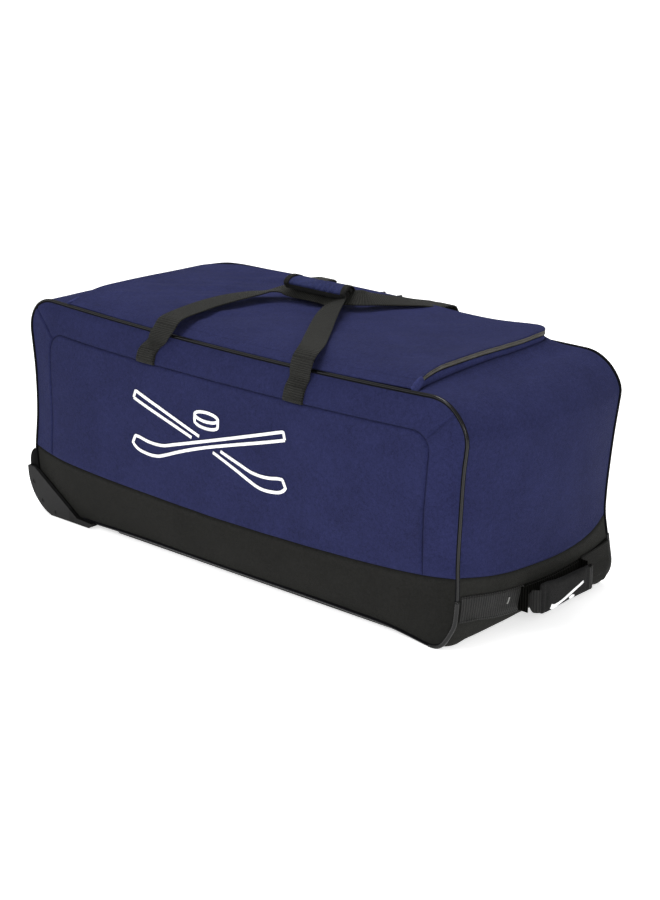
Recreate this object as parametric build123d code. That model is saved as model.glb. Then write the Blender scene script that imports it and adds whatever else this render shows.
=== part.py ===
from build123d import *
import os

# Wheeled hockey equipment bag, millimetres, +Z up.
# X runs along the bag: +X is the end with the pull handle, -X the end with the wheels.
# -Y is the front face. The floor is z = 0, and the origin is on the underside of the middle skid rail.

# --- Shell -----------------------------------------------------------------
BAG_LENGTH = 915.0          # piping to piping
BAG_DEPTH = 366.0           # seam to seam
BOTTOM_Z = 7.0              # underside of the fabric bottom
TOP_Z = 370.0               # top border
TOP_CORNER_R = 62.0
BOTTOM_CORNER_R = 45.0
FABRIC = 3.0                # padded panel thickness
FACE_BULGE = 22.0           # crown of the front and back faces
END_BULGE = 24.0            # crown of the two ends
BAND_TOP_Z = 104.0          # seam between navy panels and black lower band
INSET_X = 405.0             # half-width of the stitched centre panel
INSET_TOP_Z = 320.0
INSET_R = 28.0
END_SPLIT_X = 396.0         # where the top border and the bottom meet the ends
HALF_LENGTH = BAG_LENGTH / 2
HALF_DEPTH = BAG_DEPTH / 2
WALL_Y = HALF_DEPTH - FABRIC

# --- Piping ----------------------------------------------------------------
PIPING_R = 4.0
PIPING_INSET = 2.0          # piping centre, inside the outline and inside the face
SLEEVE_R = 5.2              # abrasion sleeve at the lower corner of the pull end
SLEEVE_X = 405.0            # the sleeve covers the piping beyond this x and below SLEEVE_Z
SLEEVE_Z = 80.0

# --- Lid and zipper --------------------------------------------------------
LID_HALF_X = 361.0
LID_BACK_Y = 151.5
LID_FRONT_Y = -178.0
LID_CORNER_R = 25.0
LID_HINGE_Y = -180.0
LID_HINGE_Z = 381.0
LID_SLOPE = 2.4             # degrees, the lid rises towards the back
LID_THICK = 2.5
FOLD_Y = -19.0              # crease across the middle of the lid
FOLD_GAP = 0.2
COIL_H = 3.5                # height of one zipper coil row
COIL_GAP = 0.5
COIL_W = 4.5
COIL_FRONT_Y = -165.0
ZIP_WALL_W = 3.0            # standing strip that carries the fixed coil
ROW_LOW = -LID_THICK - COIL_H
FIXED_TOP = ROW_LOW - COIL_GAP
FIXED_LOW = FIXED_TOP - COIL_H
OPENING_REACH = 30.0        # depth of the cut that opens the top border
TAB_X = (354.0, 366.0)      # folded tabs over the zipper's front ends
TAB_Y = (-177.5, -165.5)
TAB_Z = (372.2, 376.5)

# --- Sliders ---------------------------------------------------------------
SLIDER_X = (20.0, 55.0)
SLIDER_LENGTH = 14.0
SLIDER_GAP = 0.4
SLIDER_THICK = 2.5
SLIDER_TOP = -0.5
SLIDER_LOW = -9.5
SLIDER_CHAMFER_X = 3.0
SLIDER_CHAMFER_Z = 2.0
LUG_REACH = 4.0
LUG_H = 1.5
PIN_R = 0.8
PULL_BORE_R = 0.85
PULL_EYE_R = 2.0
PULL_LENGTH = 20.0
PULL_THICK = 1.4
PULL_PLAY = 0.3             # above and below the pull, between the lugs
PULL_SLOT_X = (11.0, 18.0)  # slot in the tab, from the pin
PULL_SLOT_RIM = 1.2

# --- Haul straps -----------------------------------------------------------
WEBBING_W = 38.0
WEBBING_T = 2.5
STRAP_X = 160.0             # strap centres at the bag's edge
STRAP_HALF_SKEW = 20.0      # half-width along X of a slanting arm
STRAP_END_Y = 184.5
GRIP_Y = 35.0
GRIP_INNER_X = 64.0
GRIP_OUTER_X = 92.0
HEM_Z = 318.0
HEM_LENGTH = 30.0
RISER_JOIN_Z = 360.0        # above it the webbing stands free, in front of the piping
RISER_TOP_Z = 381.0
RISER_Y = 186.0
FRONT_GRIP_Z = 407.0
BACK_GRIP_Z = 402.3
SKIN_GAP = 0.1              # between webbing and the face it lies on
# Centre lines (y, z) of the two straps, from the piping to the far side of the grip.
FRONT_STRAP_LINE = ((-STRAP_END_Y, 386.0), (-168.0, 392.0), (12.0, FRONT_GRIP_Z), (58.0, FRONT_GRIP_Z))
BACK_STRAP_LINE = ((12.0, BACK_GRIP_Z), (58.0, BACK_GRIP_Z), (150.0, 398.5), (168.0, 396.5),
                   (STRAP_END_Y, 386.0))
WRAP_HALF_X = 61.0
WRAP_LOW_Z = 397.0
WRAP_TOP_Z = 416.0
WRAP_HALF_Y = 30.0
WRAP_WALL = 5.0
WRAP_EDGE_R = 4.0

# --- Pull handle on the +X end --------------------------------------------
HANDLE_Z = 55.0
HANDLE_Y = (-66.0, 84.0)
HANDLE_PIVOT_X = 480.0
HANDLE_REACH_X = 500.0
HANDLE_T = 3.0
HANDLE_HEEL = 4.0           # how far the arms reach behind the pivot
HANDLE_HEEL_R = 14.0        # round of the arms' inner ends, which clears the end as the handle lifts
HANDLE_PLY_GAP = 0.2        # between the end webbing and what lies on it
LUG_GAP = 0.4
GRIP_PAD_Y = (-50.0, 68.0)
GRIP_PAD_T = 12.0
GRIP_PAD_H = 42.0
PATCH_Y = (88.0, 176.0)
PATCH_Z = (24.0, 98.0)
PATCH_T = 1.5

# --- Skid rails ------------------------------------------------------------
RAIL_X = (-276.0, 400.0)
RAIL_Y = (-158.0, 0.0, 158.0)
RAIL_W = 26.0
RAIL_RAMP = 9.0
RIVET_X = (-240.0, -30.0, 180.0, 370.0)
RIVET_R = 2.0
RIVET_HEAD_R = 4.5
RIVET_HEAD_H = 1.5
RIVET_HEAD_Z = 1.0          # head above the floor, inside the rail
BOARD_HALF_X = 410.0
BOARD_HALF_Y = 174.0
BOARD_T = 3.0

# --- Wheels ----------------------------------------------------------------
WHEEL_R = 38.0
WHEEL_X = -428.0
WHEEL_Y = -154.5            # front wheel; the back wheel is its mirror
WHEEL_W = 24.0
TYRE_INNER_R = 23.0
TYRE_SHOULDER = 5.0
BEARING_R = 11.0
BEARING_W = 7.0
AXLE_R = 4.0
AXLE_CLEARANCE = 0.03
SPACER_R = 6.0
WELL_R = 44.0
HOUSING_WALL = 3.5
CORNER_X = -392.0           # centre of the moulded corner's outer round
CORNER_Z = 75.0
CORNER_R = 77.0
CHORD_TOP = (-453.0, 78.0)
CHORD_END = (-349.0, 11.0)
TAIL_X = -312.0             # toe of the moulding, under the bottom
TAIL_TOP_Z = 9.0
TAIL_LOW_Z = 5.0
TAIL_BEVEL = 8.0
TOE_ROOT = (-402.0, 40.0)   # where the toe grows out of the outer round
MOULDING_LOW_Z = 1.0        # clear of the floor, which the wheel touches
PIPING_END_X = -420.0       # the piping stops inside the moulded corner, below PIPING_END_Z
PIPING_END_Z = 39.0
GUARD_Y = (-191.0, -184.5)
CHEEK_Y = (-184.5, -169.0)
WELL_Y = (-169.0, -140.0)
INNER_CHEEK_Y = (-140.0, -134.0)
BOSS_R = 6.5
BOSS_GAP = 0.3
SCREW_ANGLES = (200.0, 232.0, 262.0)
SCREW_CIRCLE_R = 66.0
SCREW_HEAD_R = 3.5
SCREW_HEAD_H = 2.0
SCREW_R = 1.75
SCREW_LENGTH = 14.0
SCREW_SINK = 1.0            # head below the guard's face
AXLE_INSET = 3.0            # end of the axle, inside the outer cheek
AXLE_BACK_INSET = 1.0

FAR = 600.0                 # beyond the bag on every side


# --- Helpers ---------------------------------------------------------------
def along_x(sketch, low, high):
    """Prism of a (y, z) sketch between two x values."""
    return Plane(origin=(low, 0, 0), x_dir=(0, 1, 0), z_dir=(1, 0, 0)) * extrude(sketch, high - low)


def along_y(sketch, low, high):
    """Prism of an (x, z) sketch between two y values."""
    return Plane(origin=(0, high, 0), x_dir=(1, 0, 0), z_dir=(0, -1, 0)) * extrude(sketch, high - low)


def along_z(sketch, low, high):
    """Prism of an (x, y) sketch between two z values."""
    return Pos(0, 0, low) * extrude(sketch, high - low)


def block(x, y, z):
    """Box between the low and high values of x, y and z."""
    middle = Pos((x[0] + x[1]) / 2, (y[0] + y[1]) / 2, (z[0] + z[1]) / 2)
    return middle * Box(x[1] - x[0], y[1] - y[0], z[1] - z[0])


def polygon(*points):
    return make_face(Polyline(*points, close=True))


def bow(start, middle, end):
    """Area between a chord and the arc through middle."""
    return make_face(Line(start, end) + ThreePointArc(end, middle, start))


def without(solid, cutters):
    for cutter in cutters:
        solid = solid - cutter
    return solid


def rod_y(x, z, radius, low, high):
    return along_y(Pos(x, z) * Circle(radius), low, high)


def ring_y(x, z, inner, outer, low, high):
    return rod_y(x, z, outer, low, high) - rod_y(x, z, inner, low, high)


def to_back(solid):
    """The same piece on the back face."""
    return mirror(solid, about=Plane.XZ)


def to_wheel_end(solid):
    """The same piece on the -X end."""
    return mirror(solid, about=Plane.YZ)


# --- Outlines --------------------------------------------------------------
def side_outline(inset=0.0):
    """Side view of the bag: a rectangle with larger top corners."""
    height = TOP_Z - BOTTOM_Z
    outline = Pos(0, BOTTOM_Z + height / 2) * Rectangle(BAG_LENGTH, height)
    outline = fillet(outline.vertices().group_by(Axis.Y)[-1], TOP_CORNER_R)
    outline = fillet(outline.vertices().group_by(Axis.Y)[0], BOTTOM_CORNER_R)
    return offset(outline, -inset) if inset else outline


def front_solid(rise):
    """Everything behind the front face when that face is moved out by rise."""
    face_y = -HALF_DEPTH - rise
    crown_y = face_y - FACE_BULGE
    middle_z = (TOP_Z + BOTTOM_Z) / 2
    plan = bow((-HALF_LENGTH, face_y), (0, crown_y), (HALF_LENGTH, face_y))
    side = bow((face_y, BOTTOM_Z), (crown_y, middle_z), (face_y, TOP_Z))
    crown = along_z(plan, BOTTOM_Z, TOP_Z) & along_x(side, -HALF_LENGTH, HALF_LENGTH)
    return block((-FAR, FAR), (face_y, 0), (0, FAR)) + crown


def front_layer(low, high):
    """Layer of the front face between two distances out from its surface."""
    return front_solid(high) - front_solid(low)


def end_solid(rise):
    """Everything inside the +X end when that end is moved out by rise."""
    face_x = HALF_LENGTH + rise
    crown_x = face_x + END_BULGE
    low_z = BOTTOM_Z + BOTTOM_CORNER_R
    high_z = TOP_Z - TOP_CORNER_R
    plan = bow((face_x, -WALL_Y), (crown_x, 0), (face_x, WALL_Y))
    side = make_face(
        Line((face_x, low_z), (face_x, high_z))
        + ThreePointArc((face_x, high_z), (crown_x, (low_z + high_z) / 2), (face_x, low_z))
    )
    crown = along_z(plan, low_z, high_z) & along_y(side, -WALL_Y, WALL_Y)
    return block((0, face_x), (-WALL_Y, WALL_Y), (0, FAR)) + crown


def lid_plane(solid):
    """Tilts a piece drawn flat, with z = 0 at the lid's top surface, into the lid's slope."""
    return Pos(0, LID_HINGE_Y, LID_HINGE_Z) * Rot(LID_SLOPE, 0, 0) * Pos(0, -LID_HINGE_Y, 0) * solid


def lid_outline(inset, front_y):
    """Plan of the lid with rounded back corners, inset on its sides and back."""
    half_x = LID_HALF_X - inset
    back_y = LID_BACK_Y - inset
    outline = Pos(0, (front_y + back_y) / 2) * Rectangle(2 * half_x, back_y - front_y)
    return fillet(outline.vertices().group_by(Axis.Y)[-1], LID_CORNER_R - inset)


def zipper_track(width, front_y):
    """U-shaped plan strip along the lid's sides and back."""
    return lid_outline(0, front_y) - lid_outline(width, front_y - 1)


# --- Wheel corner ----------------------------------------------------------
def corner_round():
    return Pos(CORNER_X, CORNER_Z) * Circle(CORNER_R)


def crescent():
    """Side profile of the moulded corner: below the chord, inside the outer round."""
    low = MOULDING_LOW_Z
    tail_top = (TAIL_X, TAIL_TOP_Z)
    reach = polygon(CHORD_TOP, CHORD_END, tail_top, (TAIL_X, low), (-FAR, low), (-FAR, CHORD_TOP[1]))
    toe = polygon((TOE_ROOT[0], low), TOE_ROOT, tail_top, (TAIL_X, TAIL_LOW_Z), (TAIL_X - TAIL_BEVEL, low))
    return (corner_round() + toe) & reach


def well_profile(radius):
    """Arch over the wheel, kept inside the outer round."""
    return (Pos(WHEEL_X, WHEEL_R) * Circle(radius)) & corner_round()


def corner_envelope():
    """Space that one moulded corner takes out of the fabric shell."""
    outer = along_y(crescent(), GUARD_Y[0], WELL_Y[0])
    inner = along_y(crescent() + well_profile(WELL_R + HOUSING_WALL), WELL_Y[0], INNER_CHEEK_Y[1])
    return outer + inner


def screw_centre(angle):
    """Place of a guard screw in an (x, z) sketch."""
    return Pos(CORNER_X, CORNER_Z) * Rot(0, 0, angle) * Pos(SCREW_CIRCLE_R, 0)


def screw(angle):
    """One guard screw along Y, with its head sunk in the guard."""
    head_y = GUARD_Y[0] + SCREW_SINK
    shank_y = head_y + SCREW_HEAD_H
    head = along_y(screw_centre(angle) * Circle(SCREW_HEAD_R), head_y, shank_y)
    shank = along_y(screw_centre(angle) * Circle(SCREW_R), shank_y, shank_y + SCREW_LENGTH)
    return head + shank


def wheel_screws():
    return Compound(children=[screw(angle) for angle in SCREW_ANGLES])


def screw_room():
    """Holes for the guard screws, with the counterbores open to the outside."""
    pieces = []
    for angle in SCREW_ANGLES:
        mouth = screw_centre(angle) * Circle(SCREW_HEAD_R)
        pieces.append(screw(angle))
        pieces.append(along_y(mouth, GUARD_Y[0] - SCREW_SINK, GUARD_Y[0] + SCREW_SINK + SCREW_HEAD_H / 2))
    return pieces


def wheel_guard():
    plate = along_y(crescent(), *GUARD_Y)
    return without(plate, screw_room())


def wheel_axle():
    return rod_y(WHEEL_X, WHEEL_R, AXLE_R, CHEEK_Y[0] + AXLE_INSET, INNER_CHEEK_Y[1] - AXLE_BACK_INSET)


def wheel_housing():
    """Moulded corner with an open well for the wheel and a boss at each end of the axle."""
    profile = crescent() + well_profile(WELL_R + HOUSING_WALL)
    body = along_y(crescent(), CHEEK_Y[0], WELL_Y[0])
    body += along_y(profile, WELL_Y[0], INNER_CHEEK_Y[1])
    body -= rod_y(WHEEL_X, WHEEL_R, WELL_R, *WELL_Y)
    half_width = WHEEL_W / 2 + BOSS_GAP
    body += rod_y(WHEEL_X, WHEEL_R, BOSS_R, WELL_Y[0], WHEEL_Y - half_width)
    body += rod_y(WHEEL_X, WHEEL_R, BOSS_R, WHEEL_Y + half_width, WELL_Y[1])
    return without(body - wheel_axle(), screw_room())


def wheel_tyre():
    """Tread with rounded shoulders."""
    low = WHEEL_Y - WHEEL_W / 2
    high = WHEEL_Y + WHEEL_W / 2
    tread = rod_y(WHEEL_X, WHEEL_R, WHEEL_R, low, high)
    tread = fillet(tread.edges().filter_by(GeomType.CIRCLE), TYRE_SHOULDER)
    return tread - rod_y(WHEEL_X, WHEEL_R, TYRE_INNER_R, low - 1, high + 1)


def wheel_hub():
    low = WHEEL_Y - WHEEL_W / 2
    high = WHEEL_Y + WHEEL_W / 2
    hub = ring_y(WHEEL_X, WHEEL_R, BEARING_R, TYRE_INNER_R, low, high)
    web = ring_y(WHEEL_X, WHEEL_R, SPACER_R, BEARING_R, low + BEARING_W, high - BEARING_W)
    return hub + web


def wheel_bearings():
    low = WHEEL_Y - WHEEL_W / 2
    high = WHEEL_Y + WHEEL_W / 2
    bore = AXLE_R + AXLE_CLEARANCE
    outer = ring_y(WHEEL_X, WHEEL_R, bore, BEARING_R, low, low + BEARING_W)
    inner = ring_y(WHEEL_X, WHEEL_R, bore, BEARING_R, high - BEARING_W, high)
    return Compound(children=[outer, inner])


def wheel_spacer():
    low = WHEEL_Y - WHEEL_W / 2 + BEARING_W
    high = WHEEL_Y + WHEEL_W / 2 - BEARING_W
    return ring_y(WHEEL_X, WHEEL_R, AXLE_R + AXLE_CLEARANCE, SPACER_R, low, high)


# --- Fabric shell ----------------------------------------------------------
def piping_tube(radius):
    """Closed tube around the front face's outline."""
    path = along_y_wire(side_outline(PIPING_INSET), -HALF_DEPTH + PIPING_INSET)
    start = Plane(origin=path @ 0, z_dir=path % 0)
    return sweep(start * Circle(radius), path=path)


def along_y_wire(sketch, y):
    """Outline of an (x, z) sketch as a wire at one y."""
    placed = Plane(origin=(0, y, 0), x_dir=(1, 0, 0), z_dir=(0, -1, 0)) * sketch
    return placed.face().outer_wire()


def sleeve_region():
    return block((SLEEVE_X, FAR), (-FAR, 0), (0, SLEEVE_Z))


def front_face_parts(cutters):
    """Centre panel, border and lower band of the front face."""
    skin = front_layer(-FABRIC, 0) & along_y(side_outline(), -FAR, 0)
    skin = without(skin, cutters)
    inset = Pos(0, (BAND_TOP_Z + INSET_TOP_Z) / 2) * Rectangle(2 * INSET_X, INSET_TOP_Z - BAND_TOP_Z)
    inset = fillet(inset.vertices().group_by(Axis.Y)[-1], INSET_R)
    centre_space = along_y(inset, -FAR, 0)
    band_space = block((-FAR, FAR), (-FAR, 0), (0, BAND_TOP_Z))
    band = skin & band_space
    centre = skin & centre_space
    border = skin - centre_space - band_space
    return centre, border, band


def gusset(tubes):
    """Top, ends and bottom as one hollow ring, without the piping's space."""
    outer = along_y(side_outline(), -WALL_Y, WALL_Y)
    inner = along_y(side_outline(FABRIC), -WALL_Y, WALL_Y)
    outer_end = end_solid(0) - block((0, HALF_LENGTH), (-FAR, FAR), (0, FAR))
    inner_end = end_solid(-FABRIC) - block((0, HALF_LENGTH - FABRIC), (-FAR, FAR), (0, FAR))
    inner_end = inner_end & end_space()
    outer_end = outer_end & end_space()
    outer = outer + outer_end + to_wheel_end(outer_end)
    inner = inner + inner_end + to_wheel_end(inner_end)
    return without(outer - inner, tubes)


def end_space():
    """Straight height of an end, between its rounded corners."""
    return block((0, FAR), (-FAR, FAR), (BOTTOM_Z + BOTTOM_CORNER_R, TOP_Z - TOP_CORNER_R))


def opening_cut():
    """Top opening, as wide as the inside of the standing zipper strip."""
    inside = lid_outline(COIL_W, -FAR)
    return along_z(inside, TOP_Z - OPENING_REACH, TOP_Z + OPENING_REACH)


def base_board(envelopes):
    low = BOTTOM_Z + FABRIC
    board = block((-BOARD_HALF_X, BOARD_HALF_X), (-BOARD_HALF_Y, BOARD_HALF_Y), (low, low + BOARD_T))
    return without(board, envelopes)


# --- Skid rails ------------------------------------------------------------
def rivet(x, y):
    """Rivet through rail, bottom and board, with a head in the rail and one inside."""
    top_z = BOTTOM_Z + FABRIC + BOARD_T
    low_head = Pos(x, y) * Circle(RIVET_HEAD_R)
    shank = Pos(x, y) * Circle(RIVET_R)
    piece = along_z(low_head, RIVET_HEAD_Z, RIVET_HEAD_Z + RIVET_HEAD_H)
    piece += along_z(shank, RIVET_HEAD_Z + RIVET_HEAD_H, top_z)
    return piece + along_z(low_head, top_z, top_z + RIVET_HEAD_H)


def all_rivets():
    return [rivet(x, y) for y in RAIL_Y for x in RIVET_X]


def rivet_room():
    """Rivet holes, with the rail's counterbores open below."""
    room = all_rivets()
    mouth_top = RIVET_HEAD_Z + RIVET_HEAD_H / 2
    for y in RAIL_Y:
        for x in RIVET_X:
            room.append(along_z(Pos(x, y) * Circle(RIVET_HEAD_R), -RIVET_HEAD_Z, mouth_top))
    return room


def skid_rail(y):
    low, high = RAIL_X
    side = polygon((low, BOTTOM_Z), (low + RAIL_RAMP, 0), (high - RAIL_RAMP, 0), (high, BOTTOM_Z))
    return along_y(side, y - RAIL_W / 2, y + RAIL_W / 2)


# --- Zipper and lid --------------------------------------------------------
def zipper_wall():
    """Standing strip from the top border up to the fixed coil."""
    track = zipper_track(COIL_W, COIL_FRONT_Y)
    tall = lid_plane(along_z(track, -2 * OPENING_REACH, FIXED_LOW))
    return tall & block((-FAR, FAR), (-FAR, FAR), (TOP_Z, FAR))


def fixed_coil():
    return lid_plane(along_z(zipper_track(COIL_W, COIL_FRONT_Y), FIXED_LOW, FIXED_TOP))


def end_tabs():
    """Folded tabs that cover the front ends of the zipper."""
    tab = block(TAB_X, TAB_Y, TAB_Z)
    return Compound(children=[tab, to_wheel_end(tab)])


def front_of_fold(solid):
    return solid & block((-FAR, FAR), (-FAR, FOLD_Y - FOLD_GAP), (-FAR, FAR))


def rear_of_fold(solid):
    return solid & block((-FAR, FAR), (FOLD_Y + FOLD_GAP, FAR), (-FAR, FAR))


def lid_sheet():
    return along_z(lid_outline(0, LID_FRONT_Y), -LID_THICK, 0)


def lid_coil():
    return along_z(zipper_track(COIL_W, COIL_FRONT_Y), ROW_LOW, -LID_THICK)


# --- Sliders ---------------------------------------------------------------
def slider(x):
    """Outer plate of a slider with a pin between two lugs."""
    plate_y = (LID_BACK_Y + SLIDER_GAP, LID_BACK_Y + SLIDER_GAP + SLIDER_THICK)
    half = SLIDER_LENGTH / 2
    short = half - SLIDER_CHAMFER_X
    low = SLIDER_LOW + SLIDER_CHAMFER_Z
    high = SLIDER_TOP - SLIDER_CHAMFER_Z
    plate = polygon((x - half, low), (x - short, SLIDER_LOW), (x + short, SLIDER_LOW), (x + half, low),
                    (x + half, high), (x + short, SLIDER_TOP), (x - short, SLIDER_TOP), (x - half, high))
    body = along_y(plate, *plate_y)
    lug_y = (plate_y[1], plate_y[1] + LUG_REACH)
    body += block((x - PULL_EYE_R, x + PULL_EYE_R), lug_y, (SLIDER_LOW, SLIDER_LOW + LUG_H))
    body += block((x - PULL_EYE_R, x + PULL_EYE_R), lug_y, (SLIDER_TOP - LUG_H, SLIDER_TOP))
    pin_y = plate_y[1] + LUG_REACH / 2
    return body + along_z(Pos(x, pin_y) * Circle(PIN_R), SLIDER_LOW, SLIDER_TOP)


def pull(x, side):
    """Pull tab that turns on the slider's pin and lies along the zipper towards side."""
    pin_y = LID_BACK_Y + SLIDER_GAP + SLIDER_THICK + LUG_REACH / 2
    low = SLIDER_LOW + LUG_H + PULL_PLAY
    high = SLIDER_TOP - LUG_H - PULL_PLAY
    eye = along_z(Pos(x, pin_y) * Circle(PULL_EYE_R - PULL_PLAY), low, high)
    ends = sorted((x, x + side * PULL_LENGTH))
    tab = block(ends, (pin_y - PULL_THICK / 2, pin_y + PULL_THICK / 2), (low, high))
    hole = sorted((x + side * PULL_SLOT_X[0], x + side * PULL_SLOT_X[1]))
    slot = block(hole, (pin_y - PULL_THICK, pin_y + PULL_THICK), (low + PULL_SLOT_RIM, high - PULL_SLOT_RIM))
    bore = along_z(Pos(x, pin_y) * Circle(PULL_BORE_R), SLIDER_LOW, SLIDER_TOP)
    return eye + tab - slot - bore


# --- Haul straps -----------------------------------------------------------
def strap_riser():
    """Fixed end of a strap: stitched hem on the front face, up past the piping."""
    width = (-WEBBING_W / 2, WEBBING_W / 2)
    strip = block(width, (-FAR, 0), (HEM_Z, RISER_JOIN_Z + WEBBING_T))
    hem = block(width, (-FAR, 0), (HEM_Z, HEM_Z + HEM_LENGTH))
    riser = front_layer(SKIN_GAP, SKIN_GAP + WEBBING_T) & strip
    riser += front_layer(SKIN_GAP, SKIN_GAP + 2 * WEBBING_T) & hem
    return riser + block(width, (-RISER_Y - WEBBING_T, -RISER_Y), (RISER_JOIN_Z, RISER_TOP_Z))


def strap_risers():
    return Compound(children=[Pos(-STRAP_X, 0, 0) * strap_riser(), Pos(STRAP_X, 0, 0) * strap_riser()])


def strap_band(centre_line):
    """Layer of webbing thickness that follows a (y, z) centre line."""
    half = WEBBING_T / 2
    top = [(y, z + half) for y, z in centre_line]
    bottom = [(y, z - half) for y, z in reversed(centre_line)]
    return along_x(polygon(*top, *bottom), -FAR, FAR)


def strap_plan(edge_y):
    """Plan of a haul strap from the bag's edge to the grip and back."""
    side = 1 if edge_y > GRIP_Y else -1
    near = GRIP_Y + side * WEBBING_W / 2
    far = GRIP_Y - side * WEBBING_W / 2
    outer_x = STRAP_X + STRAP_HALF_SKEW
    inner_x = STRAP_X - STRAP_HALF_SKEW
    return polygon((-outer_x, edge_y), (-GRIP_OUTER_X, far), (GRIP_OUTER_X, far), (outer_x, edge_y),
                   (inner_x, edge_y), (GRIP_INNER_X, near), (-GRIP_INNER_X, near), (-inner_x, edge_y))


def front_haul_strap():
    return along_z(strap_plan(-STRAP_END_Y), 0, FAR) & strap_band(FRONT_STRAP_LINE)


def back_haul_strap():
    return along_z(strap_plan(STRAP_END_Y), 0, FAR) & strap_band(BACK_STRAP_LINE)


def grip_wrap():
    """Padded wrap, open below, that closes over both straps."""
    half_x = (-WRAP_HALF_X, WRAP_HALF_X)
    pad = block(half_x, (GRIP_Y - WRAP_HALF_Y, GRIP_Y + WRAP_HALF_Y), (WRAP_LOW_Z, WRAP_TOP_Z))
    pad = fillet(pad.edges().filter_by(Axis.X).group_by(Axis.Z)[-1], WRAP_EDGE_R)
    inner_y = WRAP_HALF_Y - WRAP_WALL
    room_top = FRONT_GRIP_Z + WEBBING_T / 2
    return pad - block((-FAR, FAR), (GRIP_Y - inner_y, GRIP_Y + inner_y), (0, room_top))


# --- Pull handle -----------------------------------------------------------
def end_layer(low, high, y, z):
    """Patch of a layer on the +X end, between two distances out from its surface."""
    return (end_solid(high) - end_solid(low)) & block((0, FAR), y, z)


def handle_z():
    return (HANDLE_Z - WEBBING_W / 2, HANDLE_Z + WEBBING_W / 2)


def end_webbing():
    return end_layer(SKIN_GAP, SKIN_GAP + WEBBING_T, (-PATCH_Y[1], PATCH_Y[1]), handle_z())


def handle_patch():
    """Reinforcement over one end of the webbing and the fabric above and below it."""
    low, high = handle_z()
    outer = WEBBING_T + HANDLE_PLY_GAP + PATCH_T
    channel = block((0, FAR), PATCH_Y, (low - SKIN_GAP, high + SKIN_GAP))
    beside = end_layer(SKIN_GAP, outer, PATCH_Y, PATCH_Z) - channel
    return beside + end_layer(WEBBING_T + HANDLE_PLY_GAP, outer, PATCH_Y, PATCH_Z)


def handle_lugs():
    """Fixed webbing stubs that the handle's arms turn on."""
    outer = HANDLE_PIVOT_X + HANDLE_HEEL
    stubs = []
    for y, side in zip(HANDLE_Y, (-1, 1)):
        span = sorted((y, y + side * HANDLE_T))
        stub = block((HALF_LENGTH, outer), span, handle_z())
        stubs.append(stub - end_solid(WEBBING_T + HANDLE_PLY_GAP))
    return Compound(children=stubs)


def handle_strap():
    """Moving loop of webbing: two arms and the run between them."""
    low = HANDLE_Y[0] + LUG_GAP
    high = HANDLE_Y[1] - LUG_GAP
    outer = block((HANDLE_PIVOT_X - HANDLE_HEEL, HANDLE_REACH_X), (low, high), handle_z())
    outer = fillet(outer.edges().filter_by(Axis.Y).group_by(Axis.X)[0], HANDLE_HEEL_R)
    inner = block((0, HANDLE_REACH_X - HANDLE_T), (low + HANDLE_T, high - HANDLE_T), (0, FAR))
    return outer - inner


def handle_grip():
    """Padded wrap around the handle's run."""
    middle_x = HANDLE_REACH_X - HANDLE_T / 2
    x = (middle_x - GRIP_PAD_T / 2, middle_x + GRIP_PAD_T / 2)
    pad = block(x, GRIP_PAD_Y, (HANDLE_Z - GRIP_PAD_H / 2, HANDLE_Z + GRIP_PAD_H / 2))
    pad = fillet(pad.edges().filter_by(Axis.Y), WRAP_EDGE_R)
    return pad - handle_strap()


# --- Assembly --------------------------------------------------------------
def shell_parts():
    """Fabric panels, piping, sleeves, board, rails and rivets."""
    tube = piping_tube(PIPING_R)
    sleeve_tube = piping_tube(SLEEVE_R)
    envelope = corner_envelope()
    envelopes = [envelope, to_back(envelope)]
    sleeve_rod = sleeve_tube & sleeve_region()
    sleeve = sleeve_rod - tube
    centre, border, band = front_face_parts([tube, sleeve_rod, envelope])
    cutters = [tube, to_back(tube), sleeve_rod, to_back(sleeve_rod)] + envelopes
    ring = gusset(cutters)
    high = block((-END_SPLIT_X, END_SPLIT_X), (-FAR, FAR), (TOP_Z / 2, FAR))
    low = block((-END_SPLIT_X, END_SPLIT_X), (-FAR, FAR), (0, TOP_Z / 2))
    right_high = block((END_SPLIT_X, FAR), (-FAR, FAR), (BAND_TOP_Z, FAR))
    right_low = block((END_SPLIT_X, FAR), (-FAR, FAR), (0, BAND_TOP_Z))
    holes = rivet_room()
    corner = block((-FAR, PIPING_END_X), (-FAR, 0), (0, PIPING_END_Z))
    piping = without(tube, [envelope, corner])
    parts = {
        "front_center_panel": centre,
        "front_border": border,
        "front_lower_band": band,
        "back_center_panel": to_back(centre),
        "back_border": to_back(border),
        "back_lower_band": to_back(band),
        "top_border": (ring & high) - opening_cut(),
        "end_panel_pull_side": ring & right_high,
        "end_panel_wheel_side": ring & to_wheel_end(right_high),
        "end_band_pull_side": ring & right_low,
        "end_band_wheel_side": ring & to_wheel_end(right_low),
        "bottom_panel": without(ring & low, holes),
        "base_board": without(base_board(envelopes), holes),
        "front_piping": piping,
        "back_piping": to_back(piping),
        "front_piping_sleeve": sleeve,
        "back_piping_sleeve": to_back(sleeve),
        "skid_rivets": Compound(children=all_rivets()),
    }
    for name, y in zip(("skid_rail_front", "skid_rail_middle", "skid_rail_back"), RAIL_Y):
        parts[name] = without(skid_rail(y), holes)
    return parts


def wheel_parts():
    """Both moulded corners with their wheels, front and back."""
    pieces = {
        "wheel_housing": wheel_housing(),
        "wheel_guard": wheel_guard(),
        "guard_screws": wheel_screws(),
        "wheel_axle": wheel_axle(),
        "wheel_tyre": wheel_tyre(),
        "wheel_hub": wheel_hub(),
        "wheel_bearings": wheel_bearings(),
        "wheel_spacer": wheel_spacer(),
    }
    parts = {}
    for name, piece in pieces.items():
        parts[name + "_front"] = piece
        parts[name + "_back"] = to_back(piece)
    return parts


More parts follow.
